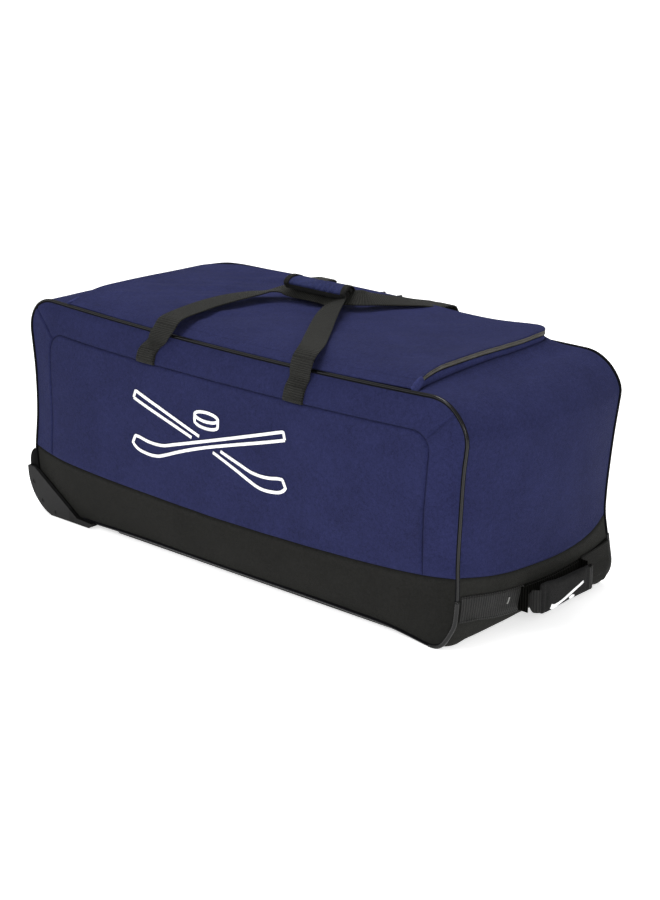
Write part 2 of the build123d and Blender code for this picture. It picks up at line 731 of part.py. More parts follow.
def zipper_parts():
    """Standing strip, both coil rows, the folding lid, sliders and pulls."""
    parts = {
        "zipper_wall": zipper_wall(),
        "shell_zipper_coil": fixed_coil(),
        "zipper_end_tabs": end_tabs(),
        "lid_front_panel": lid_plane(front_of_fold(lid_sheet())),
        "lid_rear_panel": lid_plane(rear_of_fold(lid_sheet())),
        "lid_coil_front": lid_plane(front_of_fold(lid_coil())),
        "lid_coil_rear": lid_plane(rear_of_fold(lid_coil())),
    }
    for name, x, side in zip(("left", "right"), SLIDER_X, (-1, 1)):
        parts["slider_" + name] = lid_plane(slider(x))
        parts["pull_" + name] = lid_plane(pull(x, side))
    return parts


def strap_parts():
    """Haul straps with their grip, and the pull handle on the end."""
    risers = strap_risers()
    return {
        "front_strap_roots": risers,
        "back_strap_roots": to_back(risers),
        "front_haul_strap": front_haul_strap(),
        "back_haul_strap": back_haul_strap(),
        "grip_wrap": grip_wrap(),
        "end_webbing": end_webbing(),
        "handle_patch": handle_patch(),
        "handle_lugs": handle_lugs(),
        "end_handle_strap": handle_strap(),
        "end_handle_grip": handle_grip(),
    }


os.makedirs("parts", exist_ok=True)
all_parts = {**shell_parts(), **wheel_parts(), **zipper_parts(), **strap_parts()}
for node, solid in all_parts.items():
    export_step(solid, os.path.join("parts", node + ".step"))
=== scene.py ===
"""Looks of the wheeled equipment bag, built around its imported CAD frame.

Lengths are in millimetres until a mesh is made. X runs along the bag with the pull handle at +X and the
wheels at -X, -Y is the front face, and the floor is z = 0.
"""

import math

import bmesh
import bpy
import numpy as np
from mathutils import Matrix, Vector, noise
from mathutils.bvhtree import BVHTree


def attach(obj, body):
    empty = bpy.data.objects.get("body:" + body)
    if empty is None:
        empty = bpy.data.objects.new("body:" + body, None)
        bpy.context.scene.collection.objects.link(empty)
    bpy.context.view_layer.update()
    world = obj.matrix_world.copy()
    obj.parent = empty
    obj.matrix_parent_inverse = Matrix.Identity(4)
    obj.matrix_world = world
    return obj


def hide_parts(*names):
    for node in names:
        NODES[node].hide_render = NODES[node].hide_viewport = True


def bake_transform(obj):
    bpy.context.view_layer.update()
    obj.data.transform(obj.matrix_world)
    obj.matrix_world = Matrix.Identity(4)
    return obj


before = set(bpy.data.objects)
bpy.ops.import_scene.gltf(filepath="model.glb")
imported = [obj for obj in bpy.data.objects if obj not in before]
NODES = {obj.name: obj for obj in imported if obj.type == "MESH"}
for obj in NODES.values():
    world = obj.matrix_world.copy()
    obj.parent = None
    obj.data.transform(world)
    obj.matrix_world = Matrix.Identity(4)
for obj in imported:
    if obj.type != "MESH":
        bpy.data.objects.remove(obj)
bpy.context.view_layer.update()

MM = 0.001
CENTRE = (0, 0, 190)        # a point inside the bag, which its cloth faces away from

# --- Shell dimensions --------------------------------------------------------
HALF_X = 456.0              # outline of the side faces
HALF_Y = 183.0
LOW_Z = 7.0
HIGH_Z = 370.0
TOP_R = 60.0
LOW_R = 45.0
SPLIT_X = 396.0             # where the ends meet the top border and the bottom
GUSSET_Y = 181.0
FACE_CROWN = {-1: 29.0, 1: 22.0}    # front, back
FACE_FALL = 65.0            # how far in from an edge the crown builds up
END_CROWN = 30.0
END_FALL = 60.0
INSET_X = 401.0
INSET_TOP = 320.0
INSET_R = 34.0
CLOTH = 2.2                 # thickness of shell fabric
GROOVE = 2.1                # depth of a sewn seam
GROOVE_W = 1.7
RIDGE = 0.55                # ridge of the seam's allowance, and where it lies beside the seam
RIDGE_AT = 5.5
RIDGE_W = 3.0
EDGE_HOLD = 8.0             # how far in from its outline a face is held flat
CORNER_HOLD = 20.0          # and from the moulded corner
SEAM_HOLD = 3.0             # how far in from its outline a face's seams reach their depth
ARC_MIDDLE = 0.29           # from a square corner to the middle of its arc, in radii

# How far the loaded bag leaves the plain box: (height, shift) outwards along X at the ends.
PULL_END_FRONT = ((7, -11), (29, -14), (51, -9), (83, -5.5), (138, -5.5), (207, -2.5), (272, 1.5), (319, 6.5),
                  (345, 4), (374, 1))
PULL_END_BACK = ((7, 6), (33, 3.5), (59, -2), (88, -7.5), (113, -12), (151, -11.5), (199, -7.5), (255, -1.5),
                 (299, 4.5), (320, 7), (343, 5), (374, 2))
WHEEL_END = ((7, 0), (90, -0.5), (105, -1.5), (183, -10.5), (247, -10.5), (317, -3.6), (350, -1), (374, 0))
TOP_END_RISE = 4.0          # front top seam at the corners
TOP_SAG = 10.0              # and how far its middle hangs below that
TOP_SAG_HALF = 430.0
TOP_BACK_DROP = 5.0
END_REACH = (250, 450)      # how far from the middle the ends' shift sets in, and is full
DROP_REACH = (180, 368)     # heights between which the top's drop builds up
FOOT_REACH = (15, 110)      # heights between which the foot's shift fades
FOOT_SIDE = (140, 180)      # and distances from the middle where it sets in
FOOT_LINE = ((-456, 0), (-340, 2), (-250, 4), (0, 4), (250, 4), (330, 2.5), (380, -2.5), (408, -6),
             (440, -6.5), (456, -5))     # (x, shift) of the faces' lower edges
HEEL_FILL = ((0, 0.5), (30, 1.5), (60, 3.5), (90, 5.2), (120, 7.2), (150, 8.5), (165, 8), (176, 3),
             (181, 0))      # (distance from the middle, fullness) of the pull end's lower edge

# Soft folds: the height of the waves, their size along x, y and z, and a seed.
FACE_WAVES = {-1: ((2.0, (190, 90, 150), 2.1), (1.0, (70, 50, 85), 7.7)),
              1: ((2.0, (190, 90, 150), 4.1), (1.0, (70, 50, 85), 7.7))}
FACE_PULLS = ((1.1, (240, 60, 38), 12.3),)
END_WAVES = ((2.2, (90, 130, 170), 5.2), (1.0, (90, 60, 75), 1.9))
LID_WAVES = ((2.4, (170, 52, 50), 21.0), (1.3, (60, 90, 50), 4.4))
LID_PULLS = ((3.0, (150, 22, 50), 33.0),)

# Seam between the navy panels and the black lower band.
FACE_SEAM_END = 114.0
FACE_SEAM_SAG = 15.0
END_SEAM = ((-183, 116), (-107, 104), (-31, 99), (59, 97), (117, 101), (161, 108), (183, 113))

# Moulded wheel corner, as in the CAD frame: its slanting upper edge runs from CHORD_A to CHORD_B.
CHORD_A = (-453.0, 78.0)
CHORD_B = (-349.0, 11.0)
CORNER_Y = 134.0
CORNER_Z = 80.0
CORNER_TAIL_X = -350.0
# Lip above it: the (x, z) of its section.
LIP_PROFILE = ((-446, 74), (-467, 72), (-467.5, 83), (-466.5, 93), (-463.5, 102), (-458, 108), (-449, 112))
LIP_STATIONS = ((186.8, 0.93), (186.0, 1.0), (160.0, 1.0), (150.0, 0.85))   # (distance from the middle, size)

# Piping.
PIPING_IN = 1.0             # from the outline of a face
PIPING_START_X = -340.0     # it starts and ends at the wheel corner
PIPING_END_Z = 70.0
FLANGE_R = 3.2
CORD_R = 2.15
SLEEVE_R = 3.5
SLEEVE_TOP = 84.0
TUBE_SIDES = 12

# Zipper and lid.
LID_X = 361.0
LID_FRONT = -180.0
LID_BACK = 151.5
LID_R = 36.0
ZIP_FRONT = -165.0
RIM_RIGHT = ((-180, 375), (-165, 384), (-150, 390.5), (-126, 396), (-80, 398), (-29, 398.5), (30, 397.5),
             (78, 397), (117, 398.5), (151.5, 397.5))
RIM_LEFT = ((-180, 374), (-165, 378), (-148, 383), (-120, 388), (-60, 389.5), (-22, 389), (70, 386.5),
            (151.5, 385))
RIM_BACK = ((-361, 385), (-325, 390), (-228, 393), (-100, 394.5), (20, 394.5), (100, 393), (190, 389.5),
            (250, 389.5), (290, 391.5), (325, 394), (361, 397.5))
BASE_RIGHT = ((-180, 369), (-160, 371.5), (-80, 378), (-13, 380.5), (55, 380.5), (121, 382.5), (151.5, 383))
BASE_LEFT = ((-180, 368), (-160, 370), (-80, 374), (0, 376), (100, 375.5), (151.5, 375))
BASE_BACK = ((-361, 375), (-200, 381), (0, 382.5), (361, 383))
RIM_REACH = 60.0            # how far in the lid follows the height of its edge
RIM_REACH_BACK = 45.0
LID_MIDDLE = 389.0
LID_RIGHT_RISE = 2.6        # the lid lies higher towards the pull end
LID_RIGHT_RUN = (-100, 330)
PULLS_X = -180.0            # where the lid's fine pulls are strongest, and how far they spread
PULLS_REACH = 170.0
COIL_DROP = 2.6             # from the lid's edge to its row of teeth
COIL_GAP = 3.7              # and on to the shell's row
TOOTH = (1.5, 3.3, 2.6)     # along the zipper, across it and outwards
TOOTH_PITCH = 2.1
TAPE_T = 1.2
TAB_Y = (-181, -157)        # folded tab over the zipper's front ends
TAB_W = 15.0
TAB_T = 5.0
LID_RISE = 32.0             # how fast the lid rises from its sewn front edge

# Webbing.
WEB_W = 38.0
WEB_T = 2.2
CROSSING_X = {-1: (-121.0, 165.0), 1: (-128.0, 128.0)}  # where the straps cross the piping, front and back
PIVOT_Y = 190.0             # axis of the straps' swing
PIVOT_Z = 384.0
STRAP_STEPS = 9             # points between two rows of a strap's table
SQUARE_RUN = (2, 30)        # distances from its pivot between which a strap turns to lie freely
END_RING = 0.03             # first short step from the end of a length of webbing, which keeps its edge crisp
FOLD_ROD_R = WEB_T / 2 - 0.1
HEM_X = {-1: (-160.0, 152.0), 1: (-158.0, 158.0)}       # where they are sewn to the faces
ROOT_ARC = ((0.42, 190.2, 353.0), (0.62, 192.2, 363.0), (0.81, 192.7, 372.0), (0.94, 191.8, 379.0),
            (1.0, 190.0, 384.0))    # (share of the way to the crossing, distance from the middle, height)
LEAN_WIDTH = {-1: (1.18, 1.1), 1: (0.8, 0.75)}          # width of the leaning webbing along its fold
HEM_LOW = 321.0             # heights of the doubled hem
HEM_HIGH = 347.0


# --- Arrays of points --------------------------------------------------------
def stack(x, y, z):
    """Points from coordinates that are numbers or arrays."""
    return np.stack(np.broadcast_arrays(x, y, z), axis=-1).astype(float)


def smooth(value, low, high):
    """0 below low, 1 above high, and an even turn between them."""
    t = np.clip((value - low) / (high - low), 0, 1)
    return t * t * (3 - 2 * t)


def fall(distance, length):
    """0 on an edge, rising to 1 further in."""
    return 1 - np.exp(-np.maximum(distance, 0) / length)


def through(table, value):
    """Smooth curve through (position, value) pairs."""
    xs, ys = np.array(table, float).T
    slopes = np.gradient(ys, xs)
    i = np.clip(np.searchsorted(xs, value) - 1, 0, len(xs) - 2)
    h = xs[i + 1] - xs[i]
    t = np.clip((value - xs[i]) / h, 0, 1)
    rise = ys[i] * (1 + 2 * t) * (1 - t) ** 2 + ys[i + 1] * t * t * (3 - 2 * t)
    return rise + h * t * (1 - t) * (slopes[i] * (1 - t) - slopes[i + 1] * t)


def spread(low, high, step):
    """Positions from low to high, closer together near both ends, where seams need them."""
    near = np.array([0, 1.2, 2.5, 4.4, 7.4, 12.0])
    span = abs(high - low)
    sign = np.sign(high - low)
    count = max(2, int((span - 24) / step))
    inner = np.linspace(12.0 + step, span - 12.0 - step, count)
    return low + sign * np.concatenate([near, inner, span - near[::-1]])


def shares(length, step):
    """Positions from 0 to 1 across a panel of about this length, closer together at its seams."""
    return spread(0, length, step) / length


def ripple(points, size, seed):
    """Smooth noise from about -1 to 1; size is the length of its waves along x, y and z."""
    flat = points.reshape(-1, 3) / np.array(size, float) + seed
    values = [noise.noise(Vector(p)) for p in flat]
    return np.array(values).reshape(points.shape[:-1])


def layered(points, layers):
    """Sum of ripples, each given as its height, the size of its waves and a seed."""
    return sum(height * ripple(points, size, seed) for height, size, seed in layers)


def unit(vectors):
    """The same directions with a length of 1."""
    return vectors / np.maximum(np.linalg.norm(vectors, axis=-1, keepdims=True), 1e-9)


def travelled(points):
    """Distance along a line at each of its points."""
    return np.concatenate([[0], np.cumsum(np.linalg.norm(np.diff(points, axis=0), axis=1))])


def sampled(rows, at, where):
    """Rows known at the distances at, read off at the distances where."""
    return np.stack([np.interp(where, at, column) for column in np.asarray(rows).T], axis=1)


def rounded_box_depth(x, z, half_x, low_z, high_z, low_r, high_r):
    """Distance inside a rectangle whose lower and upper corners are rounded."""
    middle = (low_z + high_z) / 2
    radius = np.where(z > middle, high_r, low_r)
    qx = np.abs(x) - (half_x - radius)
    qz = np.abs(z - middle) - ((high_z - low_z) / 2 - radius)
    outside = np.hypot(np.maximum(qx, 0), np.maximum(qz, 0))
    return radius - outside - np.minimum(np.maximum(qx, qz), 0)


def corner_drop(distance, end, radius):
    """How far a rounded corner has turned away from an edge, at a distance along it; the corner is at end."""
    share = np.clip((distance - end + radius) / radius, 0, 1)
    return radius * (1 - np.sqrt(1 - share ** 2))


def left_of(line):
    """Directions at right angles to a flat line."""
    tangent = unit(np.gradient(line, axis=0))
    return np.stack([-tangent[:, 1], tangent[:, 0]], axis=1)


def spline(controls, steps):
    """Points along a smooth curve through control rows, steps to each span."""
    rows = np.array(controls, float)
    position = travelled(rows[:, :3])
    spans = zip(position[:-1], position[1:])
    parts = [np.linspace(start, end, steps, endpoint=False) for start, end in spans]
    at = np.concatenate([*parts, position[-1:]])
    return np.stack([through(np.stack([position, column], axis=1), at) for column in rows.T], axis=1)


# --- Shape of the loaded shell -----------------------------------------------
def settle(points):
    """Moves points of the plain box to where the loaded fabric hangs."""
    x, y, z = points[..., 0], points[..., 1], points[..., 2]
    back = np.clip((y + HALF_Y) / (2 * HALF_Y), 0, 1)
    pull_end = (1 - back) * through(PULL_END_FRONT, z) + back * through(PULL_END_BACK, z)
    shift = smooth(x, *END_REACH) * pull_end - smooth(-x, *END_REACH) * through(WHEEL_END, z)
    front_top = TOP_END_RISE - TOP_SAG * np.clip(1 - (np.abs(x) / TOP_SAG_HALF) ** 2, 0, 1)
    drop = (1 - back) * front_top - back * TOP_BACK_DROP
    foot = through(FOOT_LINE, x) * (1 - smooth(z, *FOOT_REACH)) * smooth(np.abs(y), *FOOT_SIDE)
    return stack(x + shift, y, z + drop * smooth(z, *DROP_REACH) + foot)


def face_seam(x):
    """Height of the seam above a face's black band."""
    return FACE_SEAM_END - FACE_SEAM_SAG * np.clip(1 - (np.abs(x) / HALF_X) ** 2, 0, 1)


def groove(distance):
    """Depth of a sewn seam and the slight ridge of its allowance beside it."""
    ridge = RIDGE * np.exp(-((distance - RIDGE_AT) / RIDGE_W) ** 2)
    return GROOVE * np.exp(-(distance / GROOVE_W) ** 2) - ridge


def mitre_distance(x, z):
    """Distance to the short seams across the border's top corners."""
    inner = np.array([INSET_X, INSET_TOP]) - INSET_R * ARC_MIDDLE
    outer = np.array([HALF_X, HIGH_Z]) - TOP_R * ARC_MIDDLE
    along = outer - inner
    px, pz = np.abs(x) - inner[0], z - inner[1]
    t = np.clip((px * along[0] + pz * along[1]) / (along @ along), 0, 1)
    return np.hypot(px - t * along[0], pz - t * along[1])


def chord_distance(x, z):
    """Distance above the moulded corner's straight upper edge."""
    dx, dz = CHORD_B[0] - CHORD_A[0], CHORD_B[1] - CHORD_A[1]
    return ((x - CHORD_A[0]) * -dz + (z - CHORD_A[1]) * dx) / math.hypot(dx, dz)


def face_folds(x, z, side):
    """Soft waves and pulls in a side face."""
    waves = layered(stack(x, side * 40.0, z), FACE_WAVES[side])
    diagonal = stack(x + 0.8 * z, side * 9.0, z - 0.8 * x)
    return waves + layered(diagonal, FACE_PULLS) * smooth(np.abs(x), 250, 440)


def face_point(x, z, side, lift=0.0):
    """Point on the front (-1) or back (1) face."""
    depth = rounded_box_depth(x, z, HALF_X, LOW_Z, HIGH_Z, LOW_R, TOP_R)
    crown = fall(HALF_X - np.abs(x), FACE_FALL) * fall(HIGH_Z - z, FACE_FALL) * fall(z - LOW_Z, FACE_FALL)
    hold = fall(depth, EDGE_HOLD) * fall(chord_distance(x, z), CORNER_HOLD)
    inset = rounded_box_depth(x, z, INSET_X, -INSET_TOP, INSET_TOP, INSET_R, INSET_R)
    inset = np.where(z > face_seam(x) - 1, np.abs(inset), np.inf)
    seams = np.minimum(np.minimum(inset, np.abs(z - face_seam(x))), mitre_distance(x, z))
    cloth = hold * (FACE_CROWN[side] * crown + face_folds(x, z, side))
    out = cloth - groove(seams) * fall(depth, SEAM_HOLD)
    return settle(stack(x, side * (HALF_Y + out + lift), z))


def end_outline(z):
    """x and outward normal of the pull end's plain outline at height z."""
    low_arc = np.clip((LOW_Z + LOW_R - z) / LOW_R, 0, 1)
    high_arc = np.clip((z - HIGH_Z + TOP_R) / TOP_R, 0, 1)
    x = HALF_X - LOW_R * (1 - np.sqrt(1 - low_arc ** 2)) - TOP_R * (1 - np.sqrt(1 - high_arc ** 2))
    nz = high_arc - low_arc
    return x, np.sqrt(np.maximum(1 - nz ** 2, 0)), nz


def end_shape(x, nx, nz, y, z, side, lift=0.0):
    """Moves a point of the plain end outwards along its normal, by the end's crown and folds."""
    across = np.clip(1 - (np.abs(y) / GUSSET_Y) ** 2.4, 0, 1)
    crown = END_CROWN * across * fall(z - LOW_Z, END_FALL) * fall(HIGH_Z - z, END_FALL)
    folds = across * layered(stack(side * 60.0, y, z), END_WAVES)
    folds = folds * smooth(z, LOW_Z, 60) * smooth(HIGH_Z - z, 0, 60)
    seam = groove(np.abs(z - through(END_SEAM, y))) * smooth(GUSSET_Y - np.abs(y), 0, 6)
    heel = through(HEEL_FILL, np.abs(y)) * np.where(nz < 0, 2 * nx * -nz, 0)
    out = (crown + folds - seam) * smooth(x, SPLIT_X, SPLIT_X + 40) + (heel if side > 0 else 0) + lift
    return settle(stack(side * (x + nx * out), y, z + nz * out))


def end_point(y, z, lift=0.0):
    """Point on the pull end, raised from its cloth by lift."""
    x, nx, nz = end_outline(z)
    return end_shape(x, nx, nz, y, z, 1, lift)


def lid_height(x, y):
    """Height of the lid's upper surface."""
    seam = settle(stack(x, LID_FRONT, HIGH_Z))[..., 2] + 2.0
    level = LID_MIDDLE + LID_RIGHT_RISE * smooth(x, *LID_RIGHT_RUN)
    middle = seam + (level - seam) * fall(y - LID_FRONT, LID_RISE)
    right = np.exp(-np.maximum(LID_X - x, 0) / RIM_REACH) * (through(RIM_RIGHT, y) - middle)
    left = np.exp(-np.maximum(LID_X + x, 0) / RIM_REACH) * (through(RIM_LEFT, y) - middle)
    sides = np.clip((LID_X - np.abs(x)) / RIM_REACH, 0, 1)
    back = np.exp(-np.maximum(LID_BACK - y, 0) / RIM_REACH_BACK) * (through(RIM_BACK, x) - middle) * sides
    folds = layered(stack(x + 0.55 * y, y - 0.4 * x, 0.0), LID_WAVES)
    drawn = layered(stack(x * 0.8 + 0.6 * y, 0.8 * y - 0.6 * x, 0.0), LID_PULLS)
    drawn = drawn * (0.35 + 0.65 * np.exp(-((x - PULLS_X) / PULLS_REACH) ** 2))
    edge = fall(LID_X - np.abs(x), 30) * fall(LID_BACK - y, 30) * fall(y - LID_FRONT, 40)
    return middle + right + left + back + edge * (folds + drawn)


# --- Meshes ------------------------------------------------------------------
def add_object(name, vertices, faces, material, uv=None):
    """A smooth-shaded mesh object; uv is one pair of metres for each corner of a face."""
    mesh = bpy.data.meshes.new(name)
    mesh.from_pydata((np.asarray(vertices, float) * MM).tolist(), [], faces)
    if uv is not None:
        layer = mesh.uv_layers.new(name="UVMap")
        layer.data.foreach_set("uv", np.asarray(uv, np.float32).ravel())
    mesh.polygons.foreach_set("use_smooth", [True] * len(mesh.polygons))
    mesh.materials.append(material)
    mesh.update()
    piece = bpy.data.objects.new(name, mesh)
    bpy.context.scene.collection.objects.link(piece)
    return piece


def grid_faces(nu, nv, closed, flip, keep):
    """Quads of a grid and, for each of their corners, its (row, column) before any wrap."""
    faces, corners = [], []
    for i in range(nu - 1):
        for j in range(nv if closed else nv - 1):
            if keep is not None and not keep[i, j]:
                continue
            cell = [(i, j), (i + 1, j), (i + 1, j + 1), (i, j + 1)]
            if flip:
                cell.reverse()
            corners.extend(cell)
            faces.append([a * nv + b % nv for a, b in cell])
    return faces, corners


def grid_mesh(name, points, material, inside=None, closed=False, keep=None):
    """Mesh over a grid of points, its UVs in metres along both directions.

    inside is a point that the surface faces away from. closed joins the last column to the first and fills
    both ends. keep marks the cells that are made."""
    nu, nv = points.shape[:2]
    du = np.linalg.norm(np.diff(points, axis=0), axis=2).mean(axis=1)
    looped = np.concatenate([points, points[:, :1]], axis=1)
    dv = np.linalg.norm(np.diff(looped, axis=1), axis=2).mean(axis=0)
    u = np.concatenate([[0], np.cumsum(du)])
    v = np.concatenate([[0], np.cumsum(dv)])
    flip = False
    if inside is not None:
        a = points[1:, :-1] - points[:-1, :-1]
        b = points[:-1, 1:] - points[:-1, :-1]
        outward = points[:-1, :-1] - np.array(inside, float)
        flip = float((np.cross(a, b) * outward).sum()) < 0
    faces, corners = grid_faces(nu, nv, closed, flip, keep)
    uv = [(u[i] * MM, v[j] * MM) for i, j in corners]
    if closed:
        start, end = list(range(nv)), [(nu - 1) * nv + j for j in range(nv)]
        for cap in ((start, end[::-1]) if flip else (start[::-1], end)):
            faces.append(cap)
            uv.extend([(0.0, 0.0)] * nv)
    vertices = points.reshape(-1, 3)
    used = sorted({k for face in faces for k in face})
    index = {k: n for n, k in enumerate(used)}
    faces = [[index[k] for k in face] for face in faces]
    return add_object(name, vertices[used], faces, material, uv)


def closed_mesh(name, rings, material):
    """Solid body from closed rings of points."""
    piece = grid_mesh(name, rings, material, closed=True)
    fix_normals(piece)
    return piece


def thicken(piece, depth, offset=-1):
    """Gives a surface its thickness, inwards unless offset is 1."""
    solid = piece.modifiers.new("thickness", "SOLIDIFY")
    solid.thickness = depth * MM
    solid.offset = offset
    return solid


def soften(piece, width, segments):
    """Rounds the edges of a piece."""
    bevel = piece.modifiers.new("softened", "BEVEL")
    bevel.width = width * MM
    bevel.segments = segments
    return bevel


def cloth_panel(name, points, material, replaces, keep=None):
    """One sewn panel of the shell, with its coated lining on the inner side."""
    piece = grid_mesh(name, points, material, CENTRE, keep=keep)
    line_cloth(piece)
    return finish_piece(piece, "bag", replaces)


def line_cloth(piece):
    """Gives shell cloth its thickness inwards, with the coated lining on that side."""
    piece.data.materials.append(LINING)
    solid = thicken(piece, CLOTH)
    solid.material_offset = 1
    solid.material_offset_rim = 0


def finish_piece(piece, body, replaces=()):
    """Says which body a piece rides on and which CAD nodes it replaces."""
    if body:
        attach(piece, body)
    if replaces:
        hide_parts(*replaces)
    return piece


def tube(name, path, radius, material, body="bag", replaces=()):
    """Round tube along a path."""
    tangent = unit(np.gradient(path, axis=0))
    side = unit(np.cross(tangent, np.array([0.0, 1.0, 0.001])))
    other = np.cross(tangent, side)
    angle = np.linspace(0, 2 * math.pi, TUBE_SIDES, endpoint=False)
    rings = (path[:, None] + radius * (np.cos(angle)[None, :, None] * side[:, None]
             + np.sin(angle)[None, :, None] * other[:, None]))
    return finish_piece(closed_mesh(name, rings, material), body, replaces)


def fix_normals(piece):
    """Turns all faces of a closed mesh outwards."""
    work = bmesh.new()
    work.from_mesh(piece.data)
    bmesh.ops.recalc_face_normals(work, faces=work.faces)
    work.to_mesh(piece.data)
    work.free()


def band_rings(centre, across, width, thick):
    """Cross-sections of flat webbing with rounded edges, along a centre line.

    across points sideways; where it is longer than 1, the webbing is that much wider."""
    tangent = unit(np.gradient(centre, axis=0))
    up = unit(np.cross(tangent, across))
    half, t = width / 2, thick / 2
    flat = np.linspace(-half + t, half - t, 9)
    edge = [(half - 0.3 * t, 0.7 * t), (half, 0), (half - 0.3 * t, -0.7 * t)]
    profile = [(s, t) for s in flat] + edge
    profile += [(-s, -n) for s, n in profile]
    s, n = np.array(profile, float).T[:, None, :, None]
    return centre[:, None] + s * across[:, None] + n * up[:, None]


def webbing(name, runs, width=WEB_W, thick=WEB_T, material=None):
    """One piece from lengths of webbing, each given as its centre line and its sideways directions."""
    made = []
    for number, (line, sideways) in enumerate(runs):
        rings = band_rings(np.asarray(line, float), np.asarray(sideways, float), width, thick)
        near_start = rings[:1] + END_RING * (rings[1:2] - rings[:1])
        near_end = rings[-1:] + END_RING * (rings[-2:-1] - rings[-1:])
        rings = np.concatenate([rings[:1], near_start, rings[1:-1], near_end, rings[-1:]])
        made.append(closed_mesh(f"{name}_{number}", rings, material or WEBBING))
    return join(name, made)


def join(name, objects):
    """Makes one piece of several."""
    with bpy.context.temp_override(active_object=objects[0], selected_editable_objects=objects,
                                   selected_objects=objects):
        bpy.ops.object.join()
    objects[0].name = name
    objects[0].data.name = name
    return objects[0]


def small_boxes(name, centres, along, out, size, material):
    """Many small rounded blocks: stitches or zipper teeth. size is along, sideways and outwards."""
    along = unit(np.asarray(along, float))
    out = unit(np.asarray(out, float))
    side = unit(np.cross(along, out))
    steps = [(-1, -.5, -.5), (-1, .5, -.5), (-1, .5, .5), (-1, -.5, .5),
             (-.45, -1, -1), (-.45, 1, -1), (-.45, 1, 1), (-.45, -1, 1),
             (.45, -1, -1), (.45, 1, -1), (.45, 1, 1), (.45, -1, 1),
             (1, -.5, -.5), (1, .5, -.5), (1, .5, .5), (1, -.5, .5)]
    quads = [[3, 2, 1, 0], [12, 13, 14, 15]]
    for k in (0, 4, 8):
        quads += [[k + j, k + (j + 1) % 4, k + 4 + (j + 1) % 4, k + 4 + j] for j in range(4)]
    half = np.array(size, float) / 2
    offsets = np.array(steps) * half
    vertices = (np.asarray(centres, float)[:, None] + offsets[None, :, :1] * along[:, None]
                + offsets[None, :, 1:2] * side[:, None] + offsets[None, :, 2:3] * out[:, None])
    faces = [[16 * n + k for k in quad] for n in range(len(vertices)) for quad in quads]
    piece = add_object(name, vertices.reshape(-1, 3), faces, material)
    fix_normals(piece)
    return piece


def along_line(points, pitch):
    """Evenly spaced points on a polyline, and its direction there."""
    points = np.asarray(points, float)
    at = travelled(points)
    count = max(2, int(at[-1] / pitch))
    where = (np.arange(count) + 0.5) * at[-1] / count
    tangents = unit(np.gradient(points, axis=0))
    return sampled(points, at, where), unit(sampled(tangents, at, where))


def stitches(name, lines, material, body, pitch=3.4, thread=0.55):
    """Raised stitches along lines given as (points, outward direction)."""
    centres, ways, outs = [], [], []
    for points, outward in lines:
        placed, direction = along_line(points, pitch)
        centres.append(placed)
        ways.append(direction)
        outs.append(np.broadcast_to(np.asarray(outward, float), placed.shape))
    piece = small_boxes(name, np.concatenate(centres), np.concatenate(ways), np.concatenate(outs),
                        (pitch * 0.72, thread, thread), material)
    return finish_piece(piece, body)


